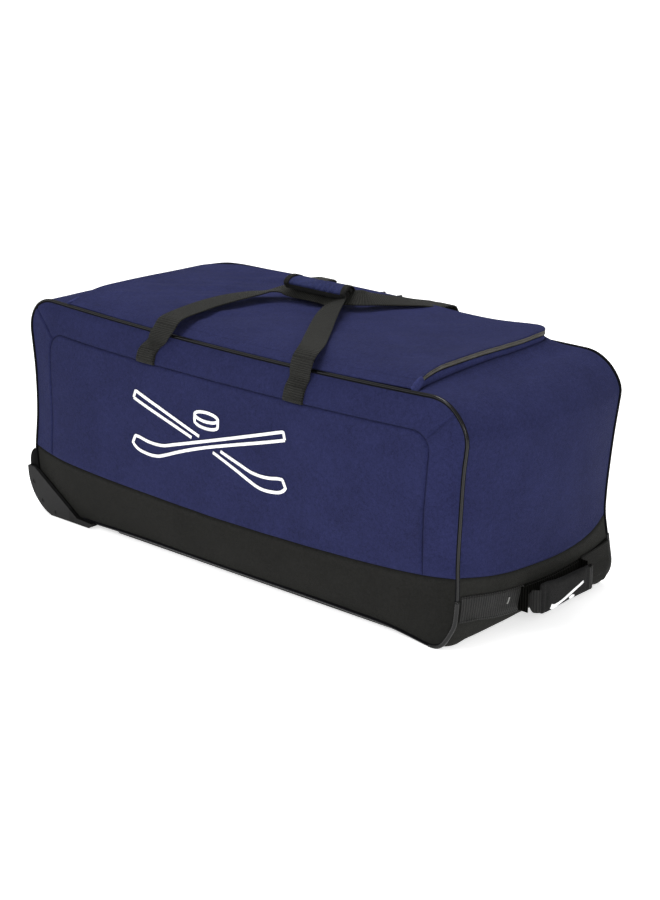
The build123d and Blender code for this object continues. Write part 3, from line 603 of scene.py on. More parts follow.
# --- Materials ---------------------------------------------------------------
class Shader:
    """A Principled material with short calls for the nodes that the finishes share."""

    def __init__(self, name, colour, rough, specular=0.3, metallic=0.0, sheen=0.0, sheen_tint=(1, 1, 1)):
        self.material = bpy.data.materials.new(name)
        self.material.use_nodes = True
        self.tree = self.material.node_tree
        self.bsdf = self.tree.nodes["Principled BSDF"]
        self.colour = colour
        self.set("Base Color", (*colour, 1))
        self.set("Roughness", rough)
        self.set("Specular IOR Level", specular)
        self.set("Metallic", metallic)
        self.set("Sheen Weight", sheen)
        self.set("Sheen Roughness", 0.5)
        self.set("Sheen Tint", (*sheen_tint, 1))
        self.height = None

    def set(self, socket, value):
        """Sets a constant of the surface."""
        self.bsdf.inputs[socket].default_value = value

    def node(self, kind, **values):
        node = self.tree.nodes.new(kind)
        for key, value in values.items():
            setattr(node, key, value)
        return node

    def link(self, a, b):
        self.tree.links.new(a, b)

    def where(self, kind):
        """Coordinates in metres: UV along and across a piece, or Object for its place in space."""
        return self.node("ShaderNodeTexCoord").outputs[kind]

    def maths(self, operation, a, b=None):
        node = self.node("ShaderNodeMath", operation=operation)
        for socket, value in zip(node.inputs, (a, b)):
            if value is None:
                continue
            if isinstance(value, (int, float)):
                socket.default_value = value
            else:
                self.link(value, socket)
        return node.outputs[0]

    def noise(self, size, detail=3.0, kind="Object"):
        """Noise whose features are about size millimetres."""
        node = self.node("ShaderNodeTexNoise")
        node.inputs["Scale"].default_value = 1 / (size * MM)
        node.inputs["Detail"].default_value = detail
        self.link(self.where(kind), node.inputs["Vector"])
        return node.outputs["Fac"]

    def waves(self, pitch, axis, kind="UV"):
        """Sine wave along one axis, pitch in millimetres."""
        split = self.node("ShaderNodeSeparateXYZ")
        self.link(self.where(kind), split.inputs[0])
        return self.maths("SINE", self.maths("MULTIPLY", split.outputs[axis], 2 * math.pi / (pitch * MM)))

    def shade(self, factor, low, high):
        """Lets factor move the colour between low and high times its value."""
        ramp = self.node("ShaderNodeValToRGB")
        ramp.color_ramp.elements[0].position = 0.25
        ramp.color_ramp.elements[1].position = 0.75
        ramp.color_ramp.elements[0].color = (*[c * low for c in self.colour], 1)
        ramp.color_ramp.elements[1].color = (*[c * high for c in self.colour], 1)
        self.link(factor, ramp.inputs[0])
        self.link(ramp.outputs[0], self.bsdf.inputs["Base Color"])

    def roughen(self, factor, low, high):
        """Lets factor move the roughness between low and high."""
        node = self.node("ShaderNodeMapRange")
        node.inputs["To Min"].default_value = low
        node.inputs["To Max"].default_value = high
        self.link(factor, node.inputs["Value"])
        self.link(node.outputs["Result"], self.bsdf.inputs["Roughness"])

    def bump(self, height, depth, strength=1.0):
        """Adds relief of depth millimetres."""
        node = self.node("ShaderNodeBump")
        node.inputs["Strength"].default_value = strength
        node.inputs["Distance"].default_value = depth * MM
        self.link(height, node.inputs["Height"])
        if self.height is not None:
            self.link(self.height, node.inputs["Normal"])
        self.height = node.outputs[0]
        self.link(self.height, self.bsdf.inputs["Normal"])

    def blacken(self, x):
        """Turns the colour black where the object lies further than x millimetres along the bag."""
        split = self.node("ShaderNodeSeparateXYZ")
        self.link(self.where("Object"), split.inputs[0])
        mix = self.node("ShaderNodeMixRGB")
        mix.inputs[2].default_value = (*TAIL_BLACK, 1)
        self.link(self.maths("GREATER_THAN", split.outputs[0], x * MM), mix.inputs[0])
        self.link(self.bsdf.inputs["Base Color"].links[0].from_socket, mix.inputs[1])
        self.link(mix.outputs[0], self.bsdf.inputs["Base Color"])


def woven(name, colour, pitch, depth, specular=0.05, rough=0.9, sheen=0.02, tint=(0.6, 0.65, 1), kind="UV",
          axes=(0, 1)):
    """Plain-weave polyester: crossed yarns, slubs, and colour that varies a little over the cloth."""
    s = Shader(name, colour, rough, specular, sheen=sheen, sheen_tint=tint)
    warp = s.waves(pitch, axes[0], kind)
    weft = s.waves(pitch, axes[1], kind)
    yarns = s.maths("MULTIPLY", warp, weft)
    slub = s.noise(2.2, 2.0)
    cloudy = s.noise(60.0, 4.0)
    mottle = s.noise(5.5, 2.0)
    grain = s.maths("ADD", s.maths("MULTIPLY", slub, 0.45), s.maths("MULTIPLY", mottle, 0.3))
    mixed = s.maths("ADD", grain, s.maths("MULTIPLY", cloudy, 0.25))
    s.shade(s.maths("ADD", mixed, s.maths("MULTIPLY", yarns, 0.06)), 0.55, 1.5)
    s.roughen(slub, rough - 0.1, rough + 0.1)
    s.bump(cloudy, 1.2, 0.5)
    s.bump(slub, 0.25, 0.6)
    s.bump(yarns, depth)
    return s.material


def ribbed(name, colour, rib, specular=0.12):
    """Webbing: ribs across its length, with fine lines of yarn along it."""
    s = Shader(name, colour, 0.68, specular, sheen=0.03, sheen_tint=(0.9, 0.9, 0.8))
    ribs = s.waves(rib, 0)
    yarns = s.waves(1.3, 1)
    weave = s.maths("ADD", ribs, s.maths("MULTIPLY", yarns, 0.5))
    wear = s.noise(25.0, 4.0)
    s.shade(s.maths("ADD", s.maths("MULTIPLY", wear, 0.7), s.maths("MULTIPLY", ribs, 0.2)), 0.5, 1.6)
    s.roughen(wear, 0.5, 0.75)
    s.bump(weave, 0.6)
    return s.material


def moulded(name, colour, grain, depth, rough=0.45, specular=0.4, black_from=None):
    """Moulded plastic with a fine spark-eroded grain, black from one place along the bag if that is given."""
    s = Shader(name, colour, rough, specular)
    pebble = s.noise(grain, 3.0)
    scuff = s.noise(18.0, 5.0)
    s.shade(scuff, 0.85, 1.2)
    s.roughen(scuff, rough - 0.08, rough + 0.1)
    s.bump(pebble, depth)
    if black_from is not None:
        s.blacken(black_from)
    return s.material


def metal(name, colour, rough):
    """Brushed metal."""
    s = Shader(name, colour, rough, 0.5, metallic=1.0)
    brushed = s.noise(1.5, 4.0)
    s.shade(s.noise(12.0), 0.8, 1.1)
    s.roughen(brushed, rough - 0.08, rough + 0.12)
    s.bump(brushed, 0.05)
    return s.material


def vinyl(name, colour):
    """Glossy vinyl over the piping cord, with faint creases."""
    s = Shader(name, colour, 0.2, 0.28)
    crease = s.noise(4.0, 4.0)
    s.shade(s.noise(30.0), 0.8, 1.25)
    s.roughen(crease, 0.15, 0.27)
    s.bump(crease, 0.12)
    return s.material


def rubber(name, colour):
    """Dusty rubber of the tyres."""
    s = Shader(name, colour, 0.75, 0.25)
    dust = s.noise(9.0, 5.0)
    s.shade(dust, 0.75, 1.5)
    s.roughen(dust, 0.62, 0.9)
    s.bump(s.noise(0.9, 2.0), 0.12)
    return s.material


GUARD_TAIL_X = -368.0       # the guards' low tails are smooth black in front of the wheels
TAIL_BLACK = (0.003, 0.003, 0.003)
SHARP_ANGLE = 42            # edges of the CAD nodes that are softened, in degrees

NAVY = woven("navy_cloth", (0.0175, 0.0200, 0.0650), 1.15, 0.16)
# Lighter copy of the navy cloth for the zipper's wall and its end tabs: painted light against the shade under
# the lid's edge and on the tabs' folds.
NAVY_WALL_LIT = woven("zipper_wall_cloth_painted_light", (0.0300, 0.0345, 0.1080), 1.15, 0.16)
NAVY_MESH = woven("navy_wrap_mesh", (0.025, 0.030, 0.088), 2.1, 0.5, kind="Object")
BLACK = woven("black_cloth", (0.0122, 0.0122, 0.0114), 1.35, 0.2, tint=(1, 1, 0.9))
# Lighter copy of the black cloth for the end bands: painted light, where the ends are lit more than the
# faces.
BLACK_END_LIT = woven("black_end_cloth_painted_light", (0.0165, 0.0165, 0.0152), 1.35, 0.2, tint=(1, 1, 0.9))
BLACK_PAD = woven("black_pad_cloth", (0.0125, 0.0125, 0.0125), 1.35, 0.2, tint=(1, 1, 1), kind="Object",
                  axes=(1, 2))
LINING = woven("grey_lining", (0.030, 0.032, 0.038), 1.6, 0.1, rough=0.6)
WEBBING = ribbed("strap_webbing", (0.0170, 0.0170, 0.0150), 3.6)
END_WEB = ribbed("end_strip_webbing", (0.0270, 0.0270, 0.0270), 4.6)
# Near-black webbing without specular for the handle's stubs and the strip behind the handle: painted shade in
# the gap behind the handle.
STUB_WEB_SHADE = ribbed("stub_webbing_painted_shade", (0.0010, 0.0010, 0.0010), 4.6, 0.0)
LOOP_WEB = ribbed("loop_webbing", (0.0210, 0.0210, 0.0210), 4.0)
BINDING = ribbed("black_binding", (0.0070, 0.0070, 0.0068), 1.5)
PIPING = vinyl("piping_vinyl", (0.0015, 0.0016, 0.0020))
# Near-black flange under the piping cord, darker than the black cloth: the flange's own colour with painted
# shade along both sides of the cord.
FLANGE_WITH_SHADE = woven("piping_flange", (0.0020, 0.0020, 0.0025), 1.0, 0.0)
SLEEVE = vinyl("sleeve_vinyl", (0.0050, 0.0050, 0.0050))
COIL = moulded("zipper_coil", (0.125, 0.120, 0.105), 0.8, 0.05, 0.4, 0.2)
THREAD = ribbed("black_thread", (0.006, 0.006, 0.006), 0.8)
WHITE_THREAD = ribbed("white_thread", (0.62, 0.62, 0.60), 0.8)
PRINT = moulded("white_print", (0.92, 0.92, 0.92), 0.9, 0.05, 0.5, 0.2)
GUARD = moulded("guard_grain", (0.0088, 0.0088, 0.0090), 1.1, 0.3, 0.62, 0.2, GUARD_TAIL_X)
HOUSING = moulded("housing_plastic", (0.0010, 0.0010, 0.0011), 1.0, 0.03, 0.6, 0.04)
SKID = moulded("skid_plastic", (0.0060, 0.0060, 0.0062), 1.3, 0.12, 0.5)
BOARD = moulded("board_plastic", (0.0150, 0.0150, 0.0155), 2.0, 0.2, 0.55)
HUB = moulded("hub_plastic", (0.025, 0.025, 0.027), 1.0, 0.06, 0.45)
TYRE = rubber("tyre_rubber", (0.0070, 0.0070, 0.0070))
STEEL = metal("bright_steel", (0.55, 0.55, 0.56), 0.3)
DARK_STEEL = moulded("blackened_steel", (0.0090, 0.0090, 0.0092), 1.0, 0.03, 0.6, 0.2)
DARK_METAL = metal("black_slider_metal", (0.020, 0.020, 0.022), 0.42)

# Finish of each CAD node that stays, by the start of its name, and how far its edges are rounded.
NODE_FINISH = {
    "base_board": (BOARD, 0.8), "skid_rail": (SKID, 1.6), "skid_rivets": (STEEL, 0.5),
    "wheel_housing": (HOUSING, 1.2), "wheel_guard": (GUARD, 2.2), "guard_screws": (DARK_STEEL, 0.4),
    "wheel_axle": (STEEL, 0.4), "wheel_bearings": (STEEL, 0.4), "wheel_tyre": (TYRE, 0.5),
    "wheel_hub": (HUB, 0.8), "wheel_spacer": (STEEL, 0.0), "slider": (DARK_METAL, 0.5),
    "pull": (DARK_METAL, 0.35),
}


def finish_nodes():
    """Gives each CAD node that stays its finish, and softens its edges."""
    for name, node in NODES.items():
        for start, (material, width) in NODE_FINISH.items():
            if not name.startswith(start):
                continue
            node.data.materials.clear()
            node.data.materials.append(material)
            if width:
                bevel = soften(node, width, 3)
                bevel.limit_method = "ANGLE"
                bevel.angle_limit = math.radians(SHARP_ANGLE)
                bevel.harden_normals = False


# --- Front and back faces ----------------------------------------------------
def mirrored(half):
    """A run of (x, z) from the right foot to the top middle, continued to the left foot."""
    left = half[::-1][1:] * np.array([-1, 1])
    return np.concatenate([half, left])


def frame_curve(half_x, top_z, radius, foot_z):
    """Open outline up one side, round both top corners and down the other."""
    rise = shares(200, 7)
    arc = shares(47, 6)[1:] * math.pi / 4
    centre_x, centre_z = half_x - radius, top_z - radius
    side = np.stack([np.full_like(rise, half_x), foot_z + rise * (centre_z - foot_z)], axis=1)
    arcs = [np.stack([centre_x + radius * np.cos(a), centre_z + radius * np.sin(a)], axis=1)
            for a in (arc, math.pi / 4 + arc)]
    across = np.linspace(0, 1, 60)[1:]
    top = np.stack([centre_x * (1 - across), np.full_like(across, top_z)], axis=1)
    return mirrored(np.concatenate([side, *arcs, top]))


def face_between(x, low, high, v, side):
    """Grid on a face between two lines of heights."""
    z = low[:, None] * (1 - v[None]) + high[:, None] * v[None]
    return face_point(np.broadcast_to(x[:, None], z.shape), z, side)


def side_face(side, prefix):
    """Centre panel, border and lower band of one face."""
    inner = frame_curve(INSET_X, INSET_TOP, INSET_R, face_seam(INSET_X))
    outer = frame_curve(HALF_X, HIGH_Z, TOP_R, face_seam(HALF_X))
    v = shares(50, 5)[None, :, None]
    ring = inner[:, None] * (1 - v) + outer[:, None] * v
    points = face_point(ring[..., 0], ring[..., 1], side)
    cloth_panel(prefix + "_border_cloth", points, NAVY, [prefix + "_border"])

    x = spread(-INSET_X, INSET_X, 7)
    top = INSET_TOP - corner_drop(np.abs(x), INSET_X, INSET_R)
    points = face_between(x, face_seam(x), top, shares(220, 6), side)
    cloth_panel(prefix + "_center_cloth", points, NAVY, [prefix + "_center_panel"])

    x = spread(-HALF_X, HALF_X, 6)
    slope = (CHORD_B[1] - CHORD_A[1]) / (CHORD_B[0] - CHORD_A[0])
    foot = LOW_Z + corner_drop(np.abs(x), HALF_X, LOW_R)
    foot = np.maximum(foot, CHORD_A[1] + slope * (x - CHORD_A[0]) - 4)
    points = face_between(x, foot, face_seam(x), shares(100, 5), side)
    cloth_panel(prefix + "_band_cloth", points, BLACK, [prefix + "_lower_band"])


def piping_path(side):
    """Centre line of the piping, from the moulded corner along the bottom, round the pull end and back."""
    angle = np.linspace(0, 1, 14)[1:] * math.pi / 2
    low_r, top_r = LOW_R - PIPING_IN, TOP_R - PIPING_IN
    low = np.array([(x, LOW_Z + PIPING_IN) for x in np.linspace(PIPING_START_X, HALF_X - LOW_R, 90)])
    corner = np.stack([HALF_X - LOW_R + low_r * np.sin(angle), LOW_Z + LOW_R - low_r * np.cos(angle)], axis=1)
    rise = np.array([(HALF_X - PIPING_IN, z) for z in np.linspace(LOW_Z + LOW_R, HIGH_Z - TOP_R, 50)[1:]])
    turn = np.stack([HALF_X - TOP_R + top_r * np.cos(angle), HIGH_Z - TOP_R + top_r * np.sin(angle)], axis=1)
    top = np.array([(x, HIGH_Z - PIPING_IN) for x in np.linspace(HALF_X - TOP_R, -HALF_X + TOP_R, 90)[1:]])
    back = turn[::-1][1:] * np.array([-1, 1])
    drop = np.array([(-HALF_X + PIPING_IN, z) for z in np.linspace(HIGH_Z - TOP_R, PIPING_END_Z, 44)])
    outline = np.concatenate([low, corner, rise, turn, top, back, drop])
    return settle(stack(outline[:, 0], side * (HALF_Y - 1.5), outline[:, 1]))


def piping(side, prefix):
    """Corded piping round one face, with its abrasion sleeve at the low corner of the pull end."""
    path = piping_path(side)
    tangent = unit(np.gradient(path, axis=0))
    outward = unit(np.cross(tangent, [0.0, 1.0, 0.0]))
    away = path - np.array(CENTRE)
    outward *= np.sign((outward * away).sum(axis=1, keepdims=True))
    core = path + 1.0 * outward + np.array([0, 1.0 * side, 0])
    covered = core[(path[:, 0] > SPLIT_X) & (path[:, 2] < SLEEVE_TOP)]
    # The flange tube carries painted shade beside the cord as well as the flange itself.
    for name, line, radius, material, node in (("_piping_flange", path, FLANGE_R, FLANGE_WITH_SHADE, "_piping"),
                                               ("_piping_cord", core, CORD_R, PIPING, "_piping"),
                                               ("_sleeve", covered, SLEEVE_R, SLEEVE, "_piping_sleeve")):
        tube(prefix + name, line, radius, material, replaces=[prefix + node])


def corner_lip(side, prefix):
    """Moulded lip that carries on up the bag's edge from each wheel corner."""
    profile = np.array(LIP_PROFILE)
    middle = profile.mean(axis=0)
    rings = []
    for depth, size in LIP_STATIONS:
        ring = middle + (profile - middle) * size
        rings.append(stack(ring[:, 0], side * depth, ring[:, 1]))
    piece = closed_mesh(prefix + "_corner_lip", np.array(rings), HOUSING)
    soften(piece, 1.0, 2)
    finish_piece(piece, "bag")


# --- Ends, bottom and top border ---------------------------------------------
def not_in_corner(points, side):
    """False for the faces that the moulded wheel corners replace."""
    x, y, z = np.moveaxis((points[1:, 1:] + points[:-1, :-1]) / 2, -1, 0)
    inside = (np.abs(y) > CORNER_Y) & (z < CORNER_Z) & (x < CORNER_TAIL_X)
    return ~inside if side < 0 else None


def gusset_y():
    """Positions across the gusset, with a line on each edge of the moulded corners."""
    inner = np.linspace(-CORNER_Y, CORNER_Y, 37)
    outer = CORNER_Y + np.array([6, 13, 20, 27, 33, 38, 42, 45, GUSSET_Y - CORNER_Y])
    return np.concatenate([-outer[::-1], inner, outer])


def end_run(x, nx, nz, z, across):
    """Rows of an end's grid: x, its normal's x and z, and height, each filled out across the gusset."""
    rows = max(len(value) for value in (x, z))
    return [np.array(np.broadcast_to(value if value.ndim == 2 else value[:, None], (rows, across)))
            for value in (x, nx, nz, z)]


def end_grid(side):
    """Navy end panel, from the top border down to the seam of the black band."""
    y = gusset_y()
    seam = through(END_SEAM, y)
    rise = shares(190, 6)[::-1]
    angle = np.linspace(math.pi / 2, 0, 16)[:-1]
    middle_x, middle_z = HALF_X - TOP_R, HIGH_Z - TOP_R
    arc = end_run(middle_x + TOP_R * np.cos(angle), np.cos(angle), np.sin(angle),
                  middle_z + TOP_R * np.sin(angle), len(y))
    straight = end_run(np.full(len(rise), HALF_X), np.ones(len(rise)), np.zeros(len(rise)),
                       seam[None] + rise[:, None] * (middle_z - seam[None]), len(y))
    x, nx, nz, z = (np.concatenate(parts) for parts in zip(arc, straight))
    return end_shape(x, nx, nz, np.broadcast_to(y, x.shape), z, side)


def end_band(side, prefix):
    """Black band that runs from the end panel round to the bottom."""
    y = gusset_y()
    seam = through(END_SEAM, y)
    drop = shares(60, 5)[::-1]
    angle = np.linspace(0, math.pi / 2, 14)[1:]
    middle_x, middle_z = HALF_X - LOW_R, LOW_Z + LOW_R
    straight = end_run(np.full(len(drop), HALF_X), np.ones(len(drop)), np.zeros(len(drop)),
                       middle_z + drop[:, None] * (seam[None] - middle_z), len(y))
    arc = end_run(middle_x + LOW_R * np.cos(angle), np.cos(angle), -np.sin(angle),
                  middle_z - LOW_R * np.sin(angle), len(y))
    flat = end_run(np.array([SPLIT_X]), np.zeros(1), -np.ones(1), np.array([LOW_Z]), len(y))
    x, nx, nz, z = (np.concatenate(parts) for parts in zip(straight, arc, flat))
    if side < 0:
        level = int(np.argmin(np.abs(z[:len(drop), 0] - CORNER_Z)))
        z[level] = CORNER_Z
    points = end_shape(x, nx, nz, np.broadcast_to(y, x.shape), z, side)
    # The end bands take the lighter black cloth, painted light.
    cloth_panel(f"end_band_cloth_{prefix}", points, BLACK_END_LIT, ["end_band_" + prefix],
                keep=not_in_corner(points, side))


def bottom():
    """Black bottom panel."""
    x = np.concatenate([np.linspace(-SPLIT_X, CORNER_TAIL_X, 6), np.linspace(CORNER_TAIL_X, SPLIT_X, 70)[1:]])
    y = gusset_y()
    grid_x = np.broadcast_to(x[:, None], (len(x), len(y)))
    grid_y = np.broadcast_to(y[None], grid_x.shape)
    points = settle(stack(grid_x, grid_y, LOW_Z))
    cloth_panel("bottom_cloth", points, BLACK, ["bottom_panel"], keep=not_in_corner(points, -1))


def opening_curve(offset=0.0, step=6.0):
    """Plan of the opening's edge from its right front end round the back, and its outward direction."""
    turn_x, turn_y = LID_X - LID_R, LID_BACK - LID_R
    up = np.linspace(ZIP_FRONT, turn_y, max(2, int((turn_y - ZIP_FRONT) / step)))[:-1]
    over = np.linspace(turn_x, -turn_x, int(2 * turn_x / step))[1:-1]
    right = [(LID_X + offset, y, 1, 0) for y in up]
    corner = [(turn_x + (LID_R + offset) * math.cos(a), turn_y + (LID_R + offset) * math.sin(a),
               math.cos(a), math.sin(a)) for a in np.linspace(0, math.pi / 2, 12)]
    middle = [(x, LID_BACK + offset, 0, 1) for x in over]
    left = [(-x, y, -nx, ny) for x, y, nx, ny in (right + corner)[::-1]]
    rows = np.array(right + corner + middle + left)
    return rows[:, :2], rows[:, 2:]


def edge_blend(plan, right, back, left):
    """Heights along the opening's edge from its three tables, without a step at the corners."""
    x, y = plan[:, 0], plan[:, 1]
    sides = np.where(x > 0, through(right, y), through(left, y))
    turn = smooth(y, LID_BACK - 40, LID_BACK - 2)
    return sides * (1 - turn) + through(back, x) * turn


def rim_line(plan):
    """Heights of the lid's edge."""
    return edge_blend(plan, RIM_RIGHT, RIM_BACK, RIM_LEFT)


def base_line(plan):
    """Heights of the foot of the zipper's wall."""
    return edge_blend(plan, BASE_RIGHT, BASE_BACK, BASE_LEFT)


def top_ring():
    """Fabric round the opening: rises to the foot of the zipper, and meets the end panels outside."""
    corner = LID_BACK - LID_R
    side_run, back_run = GUSSET_Y - corner, SPLIT_X - LID_X + LID_R
    y = gusset_y()
    rows = [(LID_X, value, SPLIT_X, value) for value in y[y <= corner]]
    travel = np.concatenate([y[y > corner] - corner, side_run + np.linspace(0, back_run, 9)[1:]])
    for run in travel:
        angle = run / (side_run + back_run) * math.pi / 2
        rows.append((LID_X - LID_R + LID_R * math.cos(angle), corner + LID_R * math.sin(angle),
                     SPLIT_X - max(run - side_run, 0), corner + min(run, side_run)))
    over = np.linspace(SPLIT_X - back_run, 0, 54)[1:]
    rows += [(x, LID_BACK, x, GUSSET_Y) for x in over]
    rows = np.array(rows + [(-a, b, -c, d) for a, b, c, d in rows[::-1][1:]])
    v = np.linspace(0, 1, 12)[None, :, None]
    plan = rows[:, None, :2] * (1 - v) + rows[:, None, 2:] * v
    points = settle(stack(plan[..., 0], plan[..., 1], HIGH_Z))
    lift = base_line(rows[:, :2]) - points[:, 0, 2]
    points[..., 2] += lift[:, None] * (1 - v[..., 0]) ** 1.7
    return points


def top_and_ends():
    """The navy gusset: both end panels and the top border are one run of cloth without a visible seam."""
    grids = [end_grid(1), end_grid(-1), top_ring()]
    pieces = [grid_mesh(f"gusset_{k}", points, NAVY, CENTRE) for k, points in enumerate(grids)]
    piece = join("gusset_cloth", pieces)
    work = bmesh.new()
    work.from_mesh(piece.data)
    bmesh.ops.remove_doubles(work, verts=work.verts, dist=0.05 * MM)
    work.to_mesh(piece.data)
    work.free()
    line_cloth(piece)
    finish_piece(piece, "bag", ["end_panel_pull_side", "end_panel_wheel_side", "top_border"])


def upright_strip(name, offsets, heights, material, body="bag", replaces=()):
    """Strip along the opening's edge; offsets go outwards, and heights holds one array for each of them."""
    columns = []
    for offset, height in zip(offsets, heights):
        plan, _ = opening_curve(offset)
        columns.append(stack(plan[:, 0], plan[:, 1], height))
    piece = grid_mesh(name, np.stack(columns, axis=1), material, (0, 0, 300))
    thicken(piece, TAPE_T)
    return finish_piece(piece, body, replaces)


def zipper():
    """Standing wall, tapes and both rows of coil, with folded tabs at the front ends."""
    plan, _ = opening_curve()
    rim, base = rim_line(plan), base_line(plan)
    low = base + 0.8 * (rim - 8.0 - base)
    foot = rim - COIL_DROP - COIL_GAP
    # The wall takes the lightened navy: painted light against the shade under the lid's edge.
    upright_strip("zipper_wall_cloth_painted_light", (0.3, -0.6, -0.9), (base - 1.0, (base + low) / 2, low), NAVY_WALL_LIT,
                  replaces=["zipper_wall"])
    upright_strip("zipper_tape", (-1.6, -1.9, -2.4), (low - 1.5, (low + foot) / 2, foot + 0.5), BINDING)
    coil_row("shell_coil", foot, "bag", ["shell_zipper_coil"])
    coil_row("lid_coil", rim - COIL_DROP, None, ["lid_coil_front", "lid_coil_rear"])
    for name, sign in (("left", -1), ("right", 1)):
        end_tab(name, sign)


def coil_row(name, heights, body, replaces):
    """One row of zipper teeth."""
    plan, out = opening_curve(-0.9, 3.0)
    coarse, _ = opening_curve()
    far, near = travelled(coarse), travelled(plan)
    z = np.interp(near / near[-1], far / far[-1], heights)
    placed, along = along_line(stack(plan[:, 0], plan[:, 1], z), TOOTH_PITCH)
    where = (np.arange(len(placed)) + 0.5) / len(placed) * near[-1]
    outward = np.pad(sampled(out, near, where), ((0, 0), (0, 1)))
    piece = small_boxes(name + "_teeth", placed, along, outward, TOOTH, COIL)
    if body is None:
        bend_lid(piece)
    finish_piece(piece, body, replaces)


def end_tab(name, sign):
    """Folded fabric tab over one front end of the zipper."""
    y = np.linspace(*TAB_Y, 12)
    swell = np.sin(np.linspace(0.3, math.pi - 0.2, 12)) ** 0.5
    rim = through(RIM_RIGHT if sign > 0 else RIM_LEFT, y)
    centre = stack(sign * (LID_X + 1.0), y, np.maximum(rim - 4.0, 372.0))
    across = np.tile([0.5 * sign, 0.0, -0.85], (12, 1))
    rings = band_rings(centre, across, TAB_W, TAB_T)
    middle = rings.mean(axis=1, keepdims=True)
    rings = middle + (rings - middle) * (0.5 + 0.5 * swell)[:, None, None]
    # The tab takes the lightened navy: painted light on its fold.
    piece = closed_mesh("zipper_tab_" + name, rings, NAVY_WALL_LIT)
    piece.modifiers.new("soft", "SUBSURF").render_levels = 1
    finish_piece(piece, "bag", ["zipper_end_tabs"])


# --- Lid ---------------------------------------------------------------------
def bend_lid(piece):
    """Bakes a lid piece's placement into its mesh."""
    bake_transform(piece)


def sheet_piece(name, points, replaces=()):
    """Lined sheet of the lid, attached to no body."""
    piece = grid_mesh(name, points, NAVY, (0, 0, 0))
    line_cloth(piece)
    return finish_piece(piece, None, replaces)


def lid():
    """Lid cloth, its turned edge, and the strip that joins it to the front seam."""
    x = np.concatenate([-spread(LID_X, 0, 9), spread(LID_X, 0, 9)[::-1][1:]])
    end = LID_BACK - corner_drop(np.abs(x), LID_X, LID_R)
    v = shares(316, 5)[None]
    y = ZIP_FRONT * (1 - v) + end[:, None] * v
    grid_x = np.broadcast_to(x[:, None], y.shape)
    points = stack(grid_x, y, lid_height(grid_x, y))
    bend_lid(sheet_piece("lid_cloth", points, ["lid_front_panel", "lid_rear_panel"]))

    y = np.linspace(LID_FRONT, ZIP_FRONT, 12)[None]
    grid_x = np.broadcast_to(x[:, None], (len(x), 12))
    grid_y = np.broadcast_to(y, grid_x.shape)
    strip = sheet_piece("lid_hinge_cloth", stack(grid_x, grid_y, lid_height(grid_x, grid_y)))
    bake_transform(strip)

    plan, _ = opening_curve()
    rim = rim_line(plan)
    top = lid_height(plan[:, 0], plan[:, 1])
    for name, offsets, heights, material, slot in (
            ("lid_edge", (0.0, 0.6, 0.8, 0.5), (top, rim - 0.3, rim - 0.8, rim - 1.4), NAVY, "navy_fabric"),
            ("lid_tape", (-1.6, -1.9), (rim - 0.8, rim - COIL_DROP - 1.6), BINDING, "zipper_nylon")):
        bend_lid(upright_strip(name, offsets, heights, material, body=None))


# --- Haul straps -------------------------------------------------------------
def fold_rod(name, x, width, side, body):
    """Round fold of webbing on a strap's pivot."""
    run = np.linspace(x - WEB_W / 2 * width, x + WEB_W / 2 * width, 6)
    tube(name, stack(run, side * PIVOT_Y, PIVOT_Z), FOLD_ROD_R, WEBBING, body)


def root_middle(x, crossing, z):
    """Middle of a strap's root at height z, which leans from its hem at x towards its pivot."""
    return x + (crossing - x) * smooth(z, HEM_LOW + 12, 390)


def root_stitches(x, crossing, side):
    """Box of stitching through the doubled hem of one root, as lines with their outward directions."""
    half = WEB_W / 2 - 3
    z = np.linspace(HEM_LOW + 4, HEM_HIGH - 2, 8)
    middle = root_middle(x, crossing, z)
    lines = [face_point(middle + dx, z, side, 5.4) for dx in (-half, half)]
    across = np.linspace(-half, half, 8)
    lines += [face_point(middle[k] + across, np.full_like(across, z[k]), side, 5.4) for k in (0, -1)]
    return [(line, (0, side, 0)) for line in lines]


def strap_roots(side, prefix):
    """Two lengths of webbing sewn to a face: doubled hem, then up and over the piping."""
    runs, lines = [], []
    for x, crossing, wide in zip(HEM_X[side], CROSSING_X[side], LEAN_WIDTH[side]):
        z = np.linspace(HEM_LOW, 343, 6)
        lower = face_point(root_middle(x, crossing, z), z, side, 4.2)
        top = [(x + (crossing - x) * share, side * y, z) for share, y, z in ROOT_ARC]
        line = spline(np.concatenate([lower, top]), 6)
        widths = 1 + (wide - 1) * smooth(line[:, 2], HEM_HIGH - 8, 378)
        runs.append((line, np.outer(widths, [1.0, 0.0, 0.0])))
        z = np.linspace(HEM_LOW - 0.5, HEM_HIGH, 9)
        under = face_point(root_middle(x, crossing, z), z, side, 1.6)
        runs.append((under, np.tile([1.0, 0.0, 0.0], (len(under), 1))))
        fold_rod(f"{prefix}_root_fold_{'left' if x < 0 else 'right'}", crossing, wide, side, "bag")
        lines += root_stitches(x, crossing, side)
    piece = webbing(prefix + "_root_webbing", runs)
    finish_piece(piece, "bag", [prefix + "_strap_roots"])
    stitches(prefix + "_root_stitches", lines, THREAD, "bag")


def strap_run(controls, side):
    """Centre line and sideways directions from rows of x, y, z and roll in degrees.

    At both ends the webbing lies square to its pivot, as wide there as its root."""
    rows = spline(controls, STRAP_STEPS)
    line, roll = rows[:, :3], np.radians(rows[:, 3:4])
    tangent = unit(np.gradient(line, axis=0))
    level = unit(np.cross([0.0, 0.0, 1.0], tangent))
    up = np.cross(tangent, level)
    across = np.cos(roll) * level + np.sin(roll) * up
    for end, wide in zip((line[:, 0] < 0, line[:, 0] > 0), LEAN_WIDTH[side]):
        square = ((1 - smooth(PIVOT_Y - np.abs(line[:, 1]), *SQUARE_RUN)) * end)[:, None]
        across = across * (1 - square) + square * np.sign(across[:, :1]) * np.array([wide, 0.0, 0.0])
    return line, across


